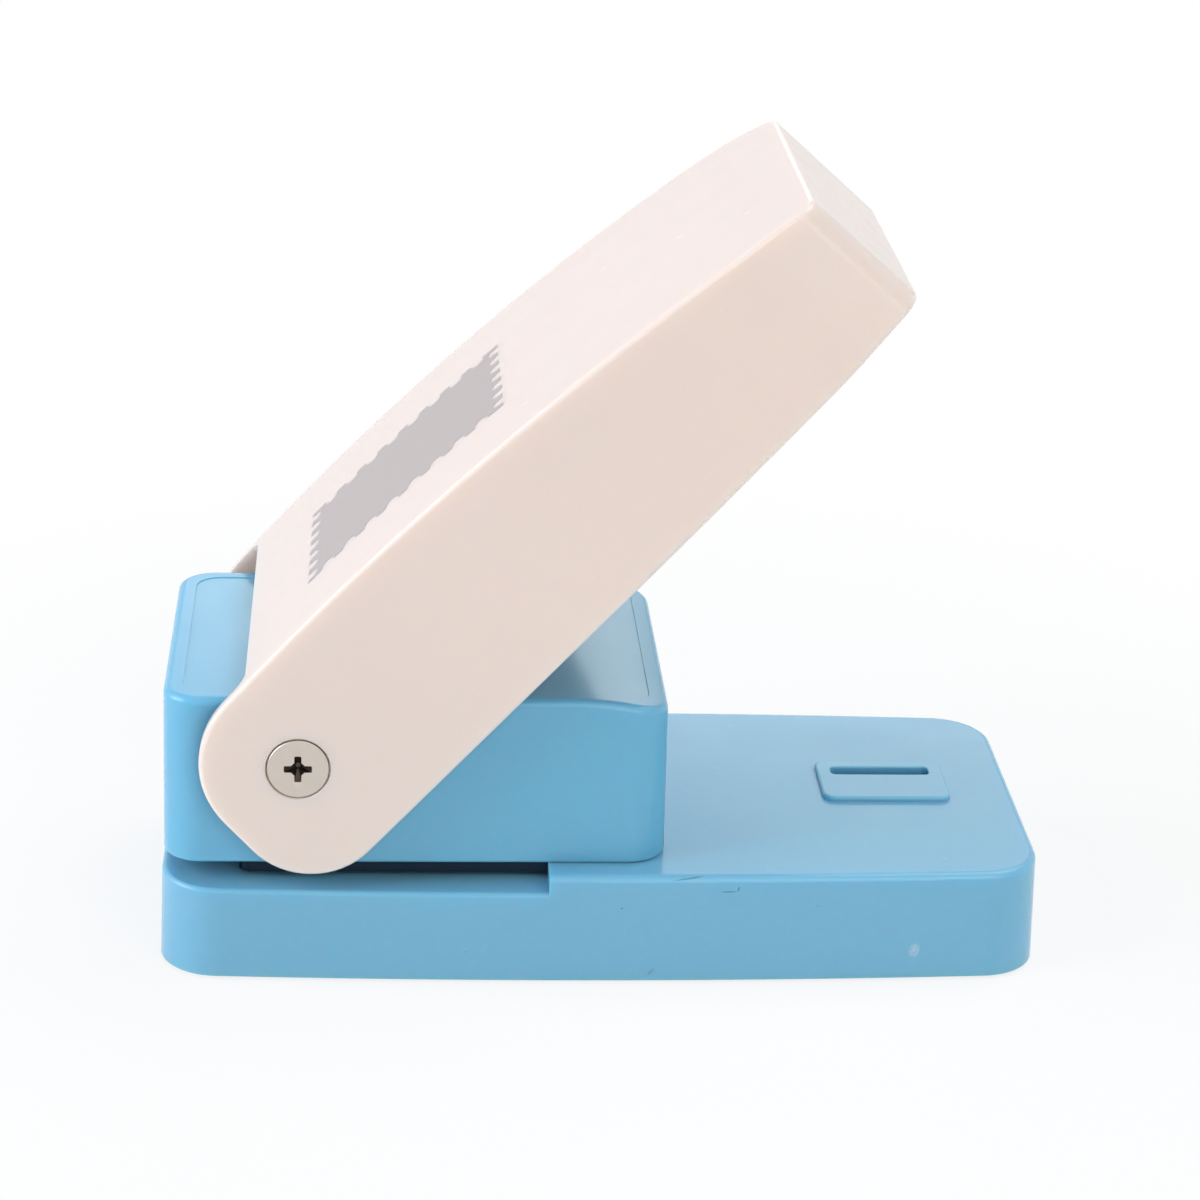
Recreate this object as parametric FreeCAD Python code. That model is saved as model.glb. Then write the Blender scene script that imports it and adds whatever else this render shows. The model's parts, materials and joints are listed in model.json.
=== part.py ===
import FreeCAD, Part
import math
import os

# Postage stamp punch for paper, all sizes in millimetres.
# Frame: origin in the middle of the base on the table, +X towards the nose of the lever,
# +Y away from the viewer, +Z up.  The lever is modelled raised, ready for the paper.

# Base
BASE_LENGTH = 140.2          # at the upper face
BASE_BULGE = 2.0             # how far the long sides swell in the middle
BASE_CORNER = 9.6
BASE_FLARE = 0.45            # mould draft over the whole height
BASE_TOP = 18.5
FOOT_GAP = 0.5               # the shell stands this far off the table on its feet
BASE_WALL = 2.2
BASE_EDGE = 1.1
BOSS_RADIUS = 3.1
THROAT_EDGE = 0.7

# Pad with the slot for the lever's catch
PAD_INSET = 21.5             # from the base's right end to the middle of the pad
PAD_CENTRE_Y = 3.2
PAD_LENGTH = 21.4
PAD_WIDTH = 14.9
PAD_RISE = 0.8
PAD_CORNER = 2.0
PAD_EDGE = 0.45
SLOT_OFFSET = 3.2            # from the middle of the pad to the middle of the slot
SLOT_LENGTH = 16.6
SLOT_WIDTH = 3.0
SLOT_DEPTH = 4.4
SLOT_CORNER = 0.9
SLOT_EDGE = 0.25

# Bottom cover and feet
COVER_THICKNESS = 2.0
COVER_CLEARANCE = 0.2
FOOT_RADIUS = 4.5
FOOT_THICKNESS = 1.4
FOOT_CLEARANCE = 0.1
FOOT_EDGE = 0.25
FOOT_INSET_X = 10.1          # insets are from the base's end and from its long side
FOOT_INSET_Y = 9.65
COVER_SCREW_INSET_X = 35.1
COVER_SCREW_INSET_Y = 6.05

# Stamp outline that the tool cuts
STAMP_PITCH = 3.8
LONG_SIDE_TEETH_COUNT = 10
SHORT_SIDE_TEETH_COUNT = 7
STAMP_NOTCH = 1.1
DIE_CLEARANCE = 0.08
GUIDE_CLEARANCE = 0.1

# Steel tool plates and the paper throat between them
TOOL_INSET = 11.9            # from the housing's left end
TOOL_SIDE_INSET = 0.9
DIE_THICKNESS = 3.0
GUIDE_THICKNESS = 2.1
PAPER_GAP = 0.9
DIE_SETBACK = 2.5            # of the die plate's long edges behind the guide plate's
STAMP_MARGIN = 4.6           # from the left end of the plates to the stamp
THROAT_MARGIN = 6.0          # from the stamp to the step that stops the paper
STACK_LENGTH = 14.0          # of the plates beyond that step
TOOL_POCKET_CLEARANCE = 0.3
TOOL_CORNER = 1.5
SEAT_THICKNESS = 2.4
SEAT_MARGIN = 2.0
WINDOW_MARGIN = 1.2
CHUTE_WALL = 1.6
STACK_SCREW_INSET = 6.5      # from the step
STACK_SCREW_SPACING = 12.0
DIE_SCREW_INSET = 6.5

# Housing
HOUSING_INSET = 0.6          # from the base's left end
HOUSING_SETBACK = 3.25       # from the base's long sides
HOUSING_END_GAP = 4.5        # from the plates to the housing's right end
HOUSING_HEIGHT = 27.9
HOUSING_FLARE = 0.3
HOUSING_CORNER = 6.0
HOUSING_WALL = 2.0
HOUSING_EDGE = 1.2
HOUSING_FOOT_EDGE = 0.6
HOUSING_SLOPE_LENGTH = 15.5
HOUSING_SLOPE_DROP = 2.4
ROOF_SPARE = 1.0             # height above the roof line that is made and cut away again
PANEL_MARGIN = 3.0
PANEL_DEPTH = 0.15
PANEL_CORNER = 4.0
PANEL_EDGE = 0.1
HOUSING_SCREW_INSET = 5.2
HOUSING_BOSS_RADIUS = 2.9
HOUSING_BOSS_HEIGHT = 11.5

# Pivot
PIVOT_INSET = 21.1           # from the housing's left end
PIVOT_DROP = 9.8             # below the housing's top
AXLE_RADIUS = 4.0
AXLE_FLAT = 3.1              # from the axis to each flat at the ends of the axle
AXLE_RUNNING_FIT = 0.05
KEY_CLEARANCE = 0.05
BUSH_WALL = 1.5
BUSH_FLANGE = 1.2
BUSH_FLANGE_THICKNESS = 0.8
BUSH_THRUST_GAP = 0.15
PIVOT_HEAD_RADIUS = 4.9
PIVOT_HEAD_THICKNESS = 1.0
PIVOT_HEAD_CLEARANCE = 0.15
PIVOT_HEAD_EDGE = 0.15       # chamfer of the head and of the hole round it
PIVOT_THREAD_RADIUS = 2.0
PIVOT_THREAD_LENGTH = 9.0
CROSS_LENGTH = 4.3
CROSS_WIDTH = 1.1
CROSS_DEPTH = 0.7

# Lever, in its own side view: U runs along the lever, V square to it, both from the pivot
LEVER_RAISE = 42.5           # of U above the table when the lever is up, degrees
LEVER_TRAVEL = 45.0          # from raised to pressed, degrees
CHEEK_GAP = 2.3              # from the housing to each cheek
LEVER_SIDE_WALL = 2.2
LEVER_TOP_WALL = 2.2
LEVER_NOSE_WALL = 2.4
LEVER_EDGE = 0.8
HEEL_REACH = 14.85           # from the pivot to the heel of the cheeks
HEEL_UPPER_RADIUS = 14.8
HEEL_LOWER_RADIUS = 12.3
HEEL_CLEARANCE = 2.0         # least room between the raised cheeks and the throat floor
CROWN_RADIUS = 505.0
CROWN_PEAK_V = 18.85
CROWN_TO_NOSE = 61.65        # from the crown's peak to the nose
NOSE_OVERHANG = 0.55         # of the nose, measured along U, beyond the base's right end
NOSE_BOTTOM_V = -7.4
NOSE_RAKE = 2.5              # how far the nose's top lies behind its bottom
TAPER_LENGTH = 69.8          # of the curve in which the sides draw in towards the nose
TAPER_DRAW_IN = 2.8          # of each side, over that length
TURN_LENGTH = 19.5           # of the last part, where the sides turn in more
TURN_RADIUS = 50.0
TURN_ANGLE = 10.0            # degrees
BEVEL_LENGTH = 6.8
BEVEL_DROP = 0.5             # of the bevel's end below the crown
BEVEL_BLEND = 1.5            # of the soft crease, to each side of the bevel's beginning
NOSE_SIDE_RADIUS = 4.0
NOSE_SPARE = 1.0             # length beyond the nose that is made and cut away again
ROOF_START = 3.6             # U where the roof between the cheeks begins
ROOF_CORNER = 2.0
RIB_THICKNESS = 1.6
RIB_DEPTH = 9.0
RIB_INSET = 11.3             # from the nose's top to the last rib
RIB_SPACING = 17.0
RIB_COUNT = 3
CATCH_THICKNESS = 2.4
CATCH_LENGTH = 10.5
CATCH_DEPTH_IN_SLOT = 3.0
CATCH_SLANT = 1.6

# Cam that turns the lever's swing into the punch's stroke
PUNCH_STROKE = 5.0
CAM_REACH = 6.6              # from the pivot down to the cam's face with the lever up
CAM_HALF_WIDTH = 7.5
CAM_GAP = 0.2
CAM_STEPS = 6
CAM_PIN_RADIUS = 1.25
CAM_PIN_INSET = 0.4          # of the pin's ends inside the cam's hub

# Punch
PUNCH_REST_IN_GUIDE = 0.3    # the cutting edge waits this far above the guide plate's lower face
WEB_THICKNESS = 2.0
WEB_TOP_BELOW_PAD = 0.6
WEB_MARGIN = 1.3             # of the carriage beside the stamp
CARRIAGE_OVERHANG = 2.5      # of the carriage beyond the stamp's ends
FLANGE_RISE = 2.8
EAR_MARGIN = 1.55            # of the ears, along the carriage, beside the bushes
EAR_RIM = 0.65               # of the ears outside the bushes
CARRIAGE_GAP = 1.2           # from the ears to the housing
PAD_PLATE_THICKNESS = 1.4
PAD_PLATE_LENGTH = 8.0
PAD_PLATE_HALF_WIDTH = 8.5
PAD_PLATE_CLEARANCE = 0.05
PUNCH_SCREW_INSET_X = 3.5    # from the stamp's edges
PUNCH_SCREW_INSET_Y = 5.3

# Guide posts, their bushes and return springs
POST_RADIUS = 2.0
POST_INSET = 2.0             # from the stamp's ends
POST_OFFSET = 6.0            # from the carriage's side
POST_CHAMFER = 0.5
SLIDE_BUSH_WALL = 0.9
POST_RUNNING_FIT = 0.05
SEAT_FIT = 0.02              # round parts pressed into their seats
SPRING_WIRE = 0.7
SPRING_POST_GAP = 0.65
SPRING_TURNS = 5
SPRING_SEAT = 0.05
SPRING_SAMPLES_COUNT = 400

# Screws
SMALL_SCREW_RADIUS = 1.25
SMALL_HEAD_RADIUS = 2.4
SMALL_HEAD_THICKNESS = 1.2
SMALL_SCREW_LENGTH = 7.0
TOOL_SCREW_RADIUS = 1.5
TOOL_HEAD_RADIUS = 2.8
TOOL_HEAD_THICKNESS = 1.6
THREAD_FIT = 0.03
BLIND_LEFT = 0.4             # what a blind thread leaves of the wall it ends in
THREAD_SPARE = 1.0           # how much deeper a blind hole in plastic is than its screw
HEAD_CLEARANCE = 0.2
HEAD_CHAMFER = 0.3
SMALL_CROSS_LENGTH = 3.0
SMALL_CROSS_WIDTH = 0.8
SMALL_CROSS_DEPTH = 0.5

# Widths worked out from the sizes above, from the stamp outwards
STAMP_LENGTH = LONG_SIDE_TEETH_COUNT * STAMP_PITCH
STAMP_WIDTH = SHORT_SIDE_TEETH_COUNT * STAMP_PITCH
SLIDE_BUSH_RADIUS = POST_RADIUS + POST_RUNNING_FIT + SLIDE_BUSH_WALL
SPRING_MEAN_RADIUS = POST_RADIUS + SPRING_POST_GAP + SPRING_WIRE / 2
WEB_HALF_WIDTH = STAMP_WIDTH / 2 + WEB_MARGIN
POST_Y = WEB_HALF_WIDTH + POST_OFFSET
FLANGE_HALF_WIDTH = POST_Y + SLIDE_BUSH_RADIUS + EAR_RIM
EAR_HALF_LENGTH = SLIDE_BUSH_RADIUS + EAR_MARGIN
HOUSING_HALF_WIDTH = FLANGE_HALF_WIDTH + CARRIAGE_GAP + HOUSING_WALL
HOUSING_SCREW_Y = HOUSING_HALF_WIDTH - HOUSING_SCREW_INSET
TOOL_HALF_WIDTH = HOUSING_HALF_WIDTH - TOOL_SIDE_INSET
DIE_HALF_WIDTH = TOOL_HALF_WIDTH - DIE_SETBACK
BASE_END_WIDTH = 2 * (HOUSING_HALF_WIDTH + HOUSING_SETBACK)
CHEEK_INNER = HOUSING_HALF_WIDTH + CHEEK_GAP
LEVER_HALF_WIDTH = CHEEK_INNER + LEVER_SIDE_WALL
BUSH_RADIUS = AXLE_RADIUS + AXLE_RUNNING_FIT + BUSH_WALL

# Places along the base, from its left end to its right
HOUSING_LEFT = HOUSING_INSET - BASE_LENGTH / 2
PIVOT_X = HOUSING_LEFT + PIVOT_INSET
TOOL_LEFT = HOUSING_LEFT + TOOL_INSET
STAMP_CENTRE_X = TOOL_LEFT + STAMP_MARGIN + STAMP_LENGTH / 2
THROAT_END = STAMP_CENTRE_X + STAMP_LENGTH / 2 + THROAT_MARGIN
SPACER_LEFT = THROAT_END + TOOL_POCKET_CLEARANCE
STACK_SCREW_X = THROAT_END + STACK_SCREW_INSET
TOOL_RIGHT = THROAT_END + STACK_LENGTH
HOUSING_RIGHT = TOOL_RIGHT + HOUSING_END_GAP
HOUSING_SLOPE_START = HOUSING_RIGHT - HOUSING_SLOPE_LENGTH
PAD_CENTRE_X = BASE_LENGTH / 2 - PAD_INSET
SLOT_CENTRE_Y = PAD_CENTRE_Y + SLOT_OFFSET

# Heights, from the table up
SHELL_BOTTOM = FOOT_GAP
COVER_TOP = SHELL_BOTTOM + COVER_THICKNESS
THROAT_FLOOR = BASE_TOP - GUIDE_THICKNESS - PAPER_GAP
DIE_BOTTOM = THROAT_FLOOR - DIE_THICKNESS
SEAT_BOTTOM = DIE_BOTTOM - SEAT_THICKNESS
GUIDE_BOTTOM = THROAT_FLOOR + PAPER_GAP
GUIDE_TOP = GUIDE_BOTTOM + GUIDE_THICKNESS
HOUSING_BOSS_TOP = GUIDE_TOP + HOUSING_BOSS_HEIGHT
HOUSING_TOP = GUIDE_TOP + HOUSING_HEIGHT
PIVOT_Z = HOUSING_TOP - PIVOT_DROP
CAM_FACE = PIVOT_Z - CAM_REACH
PAD_TOP = CAM_FACE - CAM_GAP
WEB_TOP = PAD_TOP - WEB_TOP_BELOW_PAD
WEB_BOTTOM = WEB_TOP - WEB_THICKNESS
FLANGE_TOP = WEB_TOP + FLANGE_RISE
FLANGE_BOTTOM = FLANGE_TOP - WEB_THICKNESS
PUNCH_BOTTOM = GUIDE_BOTTOM + PUNCH_REST_IN_GUIDE

# Places in the lever's side view
NOSE_BOTTOM_U = BASE_LENGTH / 2 - PIVOT_X + NOSE_OVERHANG
NOSE_TOP_U = NOSE_BOTTOM_U - NOSE_RAKE
BEVEL_START = NOSE_TOP_U - BEVEL_LENGTH
TAPER_START = NOSE_BOTTOM_U - TAPER_LENGTH
TURN_START = NOSE_BOTTOM_U - TURN_LENGTH
CROWN_PEAK_U = NOSE_BOTTOM_U - CROWN_TO_NOSE
RIB_START = NOSE_TOP_U - RIB_INSET - (RIB_COUNT - 1) * RIB_SPACING
CAM_LEAD = PUNCH_STROKE / math.radians(LEVER_TRAVEL)

TINY = 0.01
FAR = 200.0


def vec(x, y, z):
    return FreeCAD.Vector(x, y, z)


def box(x0, x1, y0, y1, z0, z1):
    return Part.makeBox(x1 - x0, y1 - y0, z1 - z0, vec(x0, y0, z0))


def rod_z(radius, x, y, z0, z1):
    return Part.makeCylinder(radius, z1 - z0, vec(x, y, z0))


def rod_y(radius, x, z, y0, y1):
    return Part.makeCylinder(radius, y1 - y0, vec(x, y0, z), vec(0, 1, 0))


def joined(shapes):
    whole = shapes[0]
    for shape in shapes[1:]:
        whole = whole.fuse(shape)
    return whole.removeSplitter()


def level_edges(shape, z):
    return [edge for edge in shape.Edges
            if edge.BoundBox.ZMin > z - TINY and edge.BoundBox.ZMax < z + TINY]


def upright_edges(shape, height):
    return [edge for edge in shape.Edges if edge.BoundBox.ZLength > height - TINY]


def rounded_box(x0, x1, y0, y1, z0, z1, corner):
    plain = box(x0, x1, y0, y1, z0, z1)
    return plain.makeFillet(corner, upright_edges(plain, z1 - z0))


def bulged_wire(x0, x1, half_width, bulge, z):
    """Outline of four edges whose two long ones swell outwards."""
    middle = (x0 + x1) / 2
    near = Part.Arc(vec(x0, -half_width, z), vec(middle, -half_width - bulge, z), vec(x1, -half_width, z))
    right = Part.LineSegment(vec(x1, -half_width, z), vec(x1, half_width, z))
    far = Part.Arc(vec(x1, half_width, z), vec(middle, half_width + bulge, z), vec(x0, half_width, z))
    left = Part.LineSegment(vec(x0, half_width, z), vec(x0, -half_width, z))
    return Part.Wire([edge.toShape() for edge in (near, right, far, left)])


def tapered_block(x0, x1, half_width, bulge, z0, z1, flare, corner):
    """Upright block, wider by flare at its foot, with rounded upright edges."""
    foot = bulged_wire(x0 - flare, x1 + flare, half_width + flare, bulge, z0)
    head = bulged_wire(x0, x1, half_width, bulge, z1)
    block = Part.makeLoft([foot, head], True, True)
    return block.makeFillet(corner, upright_edges(block, z1 - z0))


def drafted_box(x0, x1, half_width, z0, z1, flare, corner):
    """Box with flat sides, wider by flare at its foot, with rounded upright edges."""
    plain = Part.makeWedge(x0 - flare, z0, -half_width - flare, -half_width, x0,
                           x1 + flare, z1, half_width + flare, half_width, x1)
    plain.rotate(vec(0, 0, 0), vec(1, 0, 0), 90)
    return plain.makeFillet(corner, upright_edges(plain, z1 - z0))


def cross_recess(x, y, length, width, z0, z1):
    """Tool for a cross-shaped driver recess between two heights."""
    half = length / 2
    arm = width / 2
    one = box(x - half, x + half, y - arm, y + arm, z0, z1)
    other = box(x - arm, x + arm, y - half, y + half, z0, z1)
    return joined([one, other])


def screw_from_below(x, y, head_z, radius, head_radius, head_thickness, length):
    """Screw whose head's upper face seats at head_z and whose thread points up."""
    face = head_z - head_thickness
    head = rod_z(head_radius, x, y, face, head_z)
    head = head.makeChamfer(HEAD_CHAMFER, level_edges(head, face))
    thread = rod_z(radius, x, y, head_z, head_z + length)
    driver = cross_recess(x, y, SMALL_CROSS_LENGTH, SMALL_CROSS_WIDTH,
                          face - TINY, face + SMALL_CROSS_DEPTH)
    return joined([head, thread]).cut(driver)


def stamp_outline(grow, z):
    """Perforated stamp outline, each side shifted outwards by grow."""
    half_length = STAMP_LENGTH / 2
    half_width = STAMP_WIDTH / 2
    notch = STAMP_NOTCH - grow
    corners = [(-half_length, -half_width), (half_length, -half_width),
               (half_length, half_width), (-half_length, half_width)]
    counts = 2 * [LONG_SIDE_TEETH_COUNT, SHORT_SIDE_TEETH_COUNT]
    edges = []
    for side, count in enumerate(counts):
        start = corners[side]
        end = corners[(side + 1) % 4]
        along = vec(end[0] - start[0], end[1] - start[1], 0).normalize()
        out = vec(along.y, -along.x, 0)
        origin = vec(start[0] + STAMP_CENTRE_X, start[1], z) + out * grow
        last = origin - along * grow
        for tooth in range(count):
            centre = origin + along * ((tooth + 0.5) * STAMP_PITCH)
            before = centre - along * notch
            deepest = centre - out * notch
            after = centre + along * notch
            edges.append(Part.LineSegment(last, before).toShape())
            edges.append(Part.Arc(before, deepest, after).toShape())
            last = after
        finish = origin + along * (count * STAMP_PITCH + grow)
        edges.append(Part.LineSegment(last, finish).toShape())
    return Part.Wire(edges)


def stamp_prism(grow, z0, z1):
    return Part.Face(stamp_outline(grow, z0)).extrude(vec(0, 0, z1 - z0))


def mirrored_places(centre, x, y):
    """The four points x before and behind the centre and y to each side."""
    return [(centre + sx * x, sy * y) for sx in (-1, 1) for sy in (-1, 1)]


def post_places():
    return mirrored_places(STAMP_CENTRE_X, STAMP_LENGTH / 2 - POST_INSET, POST_Y)


def cover_screw_places():
    return mirrored_places(0, BASE_LENGTH / 2 - COVER_SCREW_INSET_X,
                           BASE_END_WIDTH / 2 - COVER_SCREW_INSET_Y)


def foot_places():
    return mirrored_places(0, BASE_LENGTH / 2 - FOOT_INSET_X, BASE_END_WIDTH / 2 - FOOT_INSET_Y)


def die_screw_places():
    y = TOOL_HALF_WIDTH - DIE_SCREW_INSET
    return [(TOOL_LEFT + DIE_SCREW_INSET, -y), (TOOL_LEFT + DIE_SCREW_INSET, y)]


def stack_screw_places():
    return [(STACK_SCREW_X, side * STACK_SCREW_SPACING) for side in (-1, 0, 1)]


def housing_screw_places():
    return [(x, sy * HOUSING_SCREW_Y) for x in (STAMP_CENTRE_X, STACK_SCREW_X) for sy in (-1, 1)]


def tool_block(x0, x1, half_width, z0, z1, clearance):
    """Blank of a tool plate, or the pocket for it when there is a clearance."""
    half = half_width + clearance
    return rounded_box(x0 - clearance, x1 + clearance, -half, half, z0, z1, TOOL_CORNER)


def exit_window(grow, z0, z1):
    half_length = STAMP_LENGTH / 2 + WINDOW_MARGIN + grow
    half_width = STAMP_WIDTH / 2 + WINDOW_MARGIN + grow
    left = STAMP_CENTRE_X - half_length
    return box(left, left + 2 * half_length, -half_width, half_width, z0, z1)


def base_outer():
    """Two levels: the throat floor all over, and the full height beyond the throat."""
    half_length = BASE_LENGTH / 2
    full = tapered_block(-half_length, half_length, BASE_END_WIDTH / 2, BASE_BULGE,
                         SHELL_BOTTOM, BASE_TOP, BASE_FLARE, BASE_CORNER)
    low = full.cut(box(-FAR, FAR, -FAR, FAR, THROAT_FLOOR, FAR))
    low = low.makeFillet(THROAT_EDGE, level_edges(low, THROAT_FLOOR))
    high = full.makeFillet(BASE_EDGE, level_edges(full, BASE_TOP))
    high = high.cut(box(-FAR, THROAT_END, -FAR, FAR, -FAR, FAR))
    return joined([low, high])


def base_cavity():
    half_length = BASE_LENGTH / 2 - BASE_WALL
    ceiling = BASE_TOP - BASE_WALL
    cavity = tapered_block(-half_length, half_length, BASE_END_WIDTH / 2 - BASE_WALL, BASE_BULGE,
                           SHELL_BOTTOM - TINY, ceiling, BASE_FLARE, BASE_CORNER - BASE_WALL)
    under_throat = box(-FAR, THROAT_END + BASE_WALL, -FAR, FAR, THROAT_FLOOR - BASE_WALL, FAR)
    return cavity.cut(under_throat)


def slot_rim(shape):
    """Upper edges of the slot in the pad."""
    half_length = SLOT_LENGTH / 2 + TINY
    half_width = SLOT_WIDTH / 2 + TINY
    return [edge for edge in level_edges(shape, BASE_TOP + PAD_RISE)
            if abs(edge.CenterOfMass.x - PAD_CENTRE_X) < half_length
            and abs(edge.CenterOfMass.y - SLOT_CENTRE_Y) < half_width]


def base_shell():
    shell = base_outer().cut(base_cavity())
    seat_left = TOOL_LEFT - TOOL_POCKET_CLEARANCE - SEAT_MARGIN
    seat_right = TOOL_RIGHT + TOOL_POCKET_CLEARANCE + SEAT_MARGIN
    seat_half = TOOL_HALF_WIDTH + TOOL_POCKET_CLEARANCE + SEAT_MARGIN
    seat = box(seat_left, seat_right, -seat_half, seat_half, SEAT_BOTTOM, THROAT_FLOOR - BASE_WALL / 2)
    seat_wall = box(THROAT_END, seat_right, -seat_half, seat_half, SEAT_BOTTOM, BASE_TOP - BASE_WALL / 2)
    chute = exit_window(CHUTE_WALL, COVER_TOP + COVER_CLEARANCE, SEAT_BOTTOM + TINY)
    bosses = []
    for x, y in cover_screw_places():
        bosses.append(rod_z(BOSS_RADIUS, x, y, COVER_TOP, THROAT_FLOOR - BASE_WALL / 2))
    tall = [rod_z(BOSS_RADIUS, x, y, COVER_TOP, BASE_TOP - BASE_WALL / 2)
            for x, y in cover_screw_places() if x > THROAT_END]
    x0 = PAD_CENTRE_X - PAD_LENGTH / 2
    y0 = PAD_CENTRE_Y - PAD_WIDTH / 2
    pad = rounded_box(x0, x0 + PAD_LENGTH, y0, y0 + PAD_WIDTH, BASE_TOP - BASE_WALL / 2,
                      BASE_TOP + PAD_RISE, PAD_CORNER)
    pad = pad.makeFillet(PAD_EDGE, level_edges(pad, BASE_TOP + PAD_RISE))
    shell = joined([shell, seat, seat_wall, chute, pad] + bosses + tall)
    for half_width, floor in ((DIE_HALF_WIDTH, DIE_BOTTOM), (TOOL_HALF_WIDTH, THROAT_FLOOR)):
        shell = shell.cut(tool_block(TOOL_LEFT, TOOL_RIGHT, half_width, floor, FAR,
                                     TOOL_POCKET_CLEARANCE))
    shell = shell.cut(exit_window(0, SHELL_BOTTOM, FAR))
    slot = rounded_box(PAD_CENTRE_X - SLOT_LENGTH / 2, PAD_CENTRE_X + SLOT_LENGTH / 2,
                       SLOT_CENTRE_Y - SLOT_WIDTH / 2, SLOT_CENTRE_Y + SLOT_WIDTH / 2,
                       BASE_TOP - SLOT_DEPTH, FAR, SLOT_CORNER)
    shell = shell.cut(slot)
    shell = shell.makeFillet(SLOT_EDGE, slot_rim(shell))
    for x, y in cover_screw_places():
        shell = shell.cut(rod_z(SMALL_SCREW_RADIUS + THREAD_FIT, x, y, SHELL_BOTTOM,
                                SHELL_BOTTOM + SMALL_HEAD_THICKNESS + SMALL_SCREW_LENGTH + THREAD_SPARE))
    for x, y in die_screw_places() + stack_screw_places():
        shell = shell.cut(rod_z(TOOL_SCREW_RADIUS + HEAD_CLEARANCE, x, y, SEAT_BOTTOM - TINY, FAR))
    return shell


def bottom_cover():
    half_length = BASE_LENGTH / 2 - BASE_WALL - COVER_CLEARANCE
    half_width = BASE_END_WIDTH / 2 - BASE_WALL - COVER_CLEARANCE
    cover = tapered_block(-half_length, half_length, half_width, BASE_BULGE, SHELL_BOTTOM, COVER_TOP,
                          0, BASE_CORNER - BASE_WALL)
    cover = cover.cut(exit_window(0, -FAR, FAR))
    for x, y in cover_screw_places():
        cover = cover.cut(rod_z(SMALL_SCREW_RADIUS + HEAD_CLEARANCE, x, y, -FAR, FAR))
        cover = cover.cut(rod_z(SMALL_HEAD_RADIUS + HEAD_CLEARANCE, x, y, -FAR,
                                SHELL_BOTTOM + SMALL_HEAD_THICKNESS))
    for x, y in foot_places():
        cover = cover.cut(rod_z(FOOT_RADIUS + FOOT_CLEARANCE, x, y, -FAR, FOOT_THICKNESS))
    return cover


def rubber_feet():
    feet = []
    for x, y in foot_places():
        foot = rod_z(FOOT_RADIUS, x, y, 0, FOOT_THICKNESS)
        feet.append(foot.makeFillet(FOOT_EDGE, level_edges(foot, 0)))
    return Part.makeCompound(feet)


def bottom_screws():
    seat = SHELL_BOTTOM + SMALL_HEAD_THICKNESS
    return Part.makeCompound([
        screw_from_below(x, y, seat, SMALL_SCREW_RADIUS, SMALL_HEAD_RADIUS, SMALL_HEAD_THICKNESS,
                         SMALL_SCREW_LENGTH) for x, y in cover_screw_places()])


def die_plate():
    plate = tool_block(TOOL_LEFT, TOOL_RIGHT, DIE_HALF_WIDTH, DIE_BOTTOM, THROAT_FLOOR, 0)
    plate = plate.cut(stamp_prism(DIE_CLEARANCE, DIE_BOTTOM - TINY, THROAT_FLOOR + TINY))
    for x, y in die_screw_places():
        plate = plate.cut(rod_z(TOOL_SCREW_RADIUS + THREAD_FIT, x, y, -FAR, THROAT_FLOOR - BLIND_LEFT))
    for x, y in stack_screw_places():
        plate = plate.cut(rod_z(TOOL_SCREW_RADIUS + HEAD_CLEARANCE, x, y, -FAR, FAR))
    return plate


def throat_spacer():
    spacer = tool_block(SPACER_LEFT, TOOL_RIGHT, TOOL_HALF_WIDTH, THROAT_FLOOR, GUIDE_BOTTOM, 0)
    for x, y in stack_screw_places():
        spacer = spacer.cut(rod_z(TOOL_SCREW_RADIUS + HEAD_CLEARANCE, x, y, -FAR, FAR))
    return spacer


def guide_plate():
    plate = tool_block(TOOL_LEFT, TOOL_RIGHT, TOOL_HALF_WIDTH, GUIDE_BOTTOM, GUIDE_TOP, 0)
    plate = plate.cut(stamp_prism(GUIDE_CLEARANCE, GUIDE_BOTTOM - TINY, GUIDE_TOP + TINY))
    for x, y in post_places():
        plate = plate.cut(rod_z(POST_RADIUS + SEAT_FIT, x, y, -FAR, FAR))
    for x, y in stack_screw_places():
        plate = plate.cut(rod_z(TOOL_SCREW_RADIUS + THREAD_FIT, x, y, -FAR, FAR))
    for x, y in housing_screw_places():
        plate = plate.cut(rod_z(SMALL_SCREW_RADIUS + HEAD_CLEARANCE, x, y, -FAR, FAR))
        plate = plate.cut(rod_z(SMALL_HEAD_RADIUS + HEAD_CLEARANCE, x, y, -FAR,
                                GUIDE_BOTTOM + SMALL_HEAD_THICKNESS))
    return plate


def roof_height(x, sink):
    """Z of the housing's roof line, sunk by sink, at x: flat, and then an arc that curves down."""
    run = HOUSING_RIGHT - HOUSING_SLOPE_START
    radius = (run ** 2 + HOUSING_SLOPE_DROP ** 2) / (2 * HOUSING_SLOPE_DROP)
    along = max(0, x - HOUSING_SLOPE_START)
    return HOUSING_TOP - radius + math.sqrt((radius - sink) ** 2 - along ** 2)


def slope_prism(left, right, sink, floor):
    """Everything between floor and the housing's roof line."""
    middle = (HOUSING_SLOPE_START + right) / 2
    top = vec(left, -FAR, roof_height(left, sink))
    start = vec(HOUSING_SLOPE_START, -FAR, top.z)
    end = vec(right, -FAR, roof_height(right, sink))
    edges = [Part.LineSegment(vec(left, -FAR, floor), top),
             Part.LineSegment(top, start),
             Part.Arc(start, vec(middle, -FAR, roof_height(middle, sink)), end),
             Part.LineSegment(end, vec(right, -FAR, floor)),
             Part.LineSegment(vec(right, -FAR, floor), vec(left, -FAR, floor))]
    return Part.Face(Part.Wire([edge.toShape() for edge in edges])).extrude(vec(0, 2 * FAR, 0))


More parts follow.
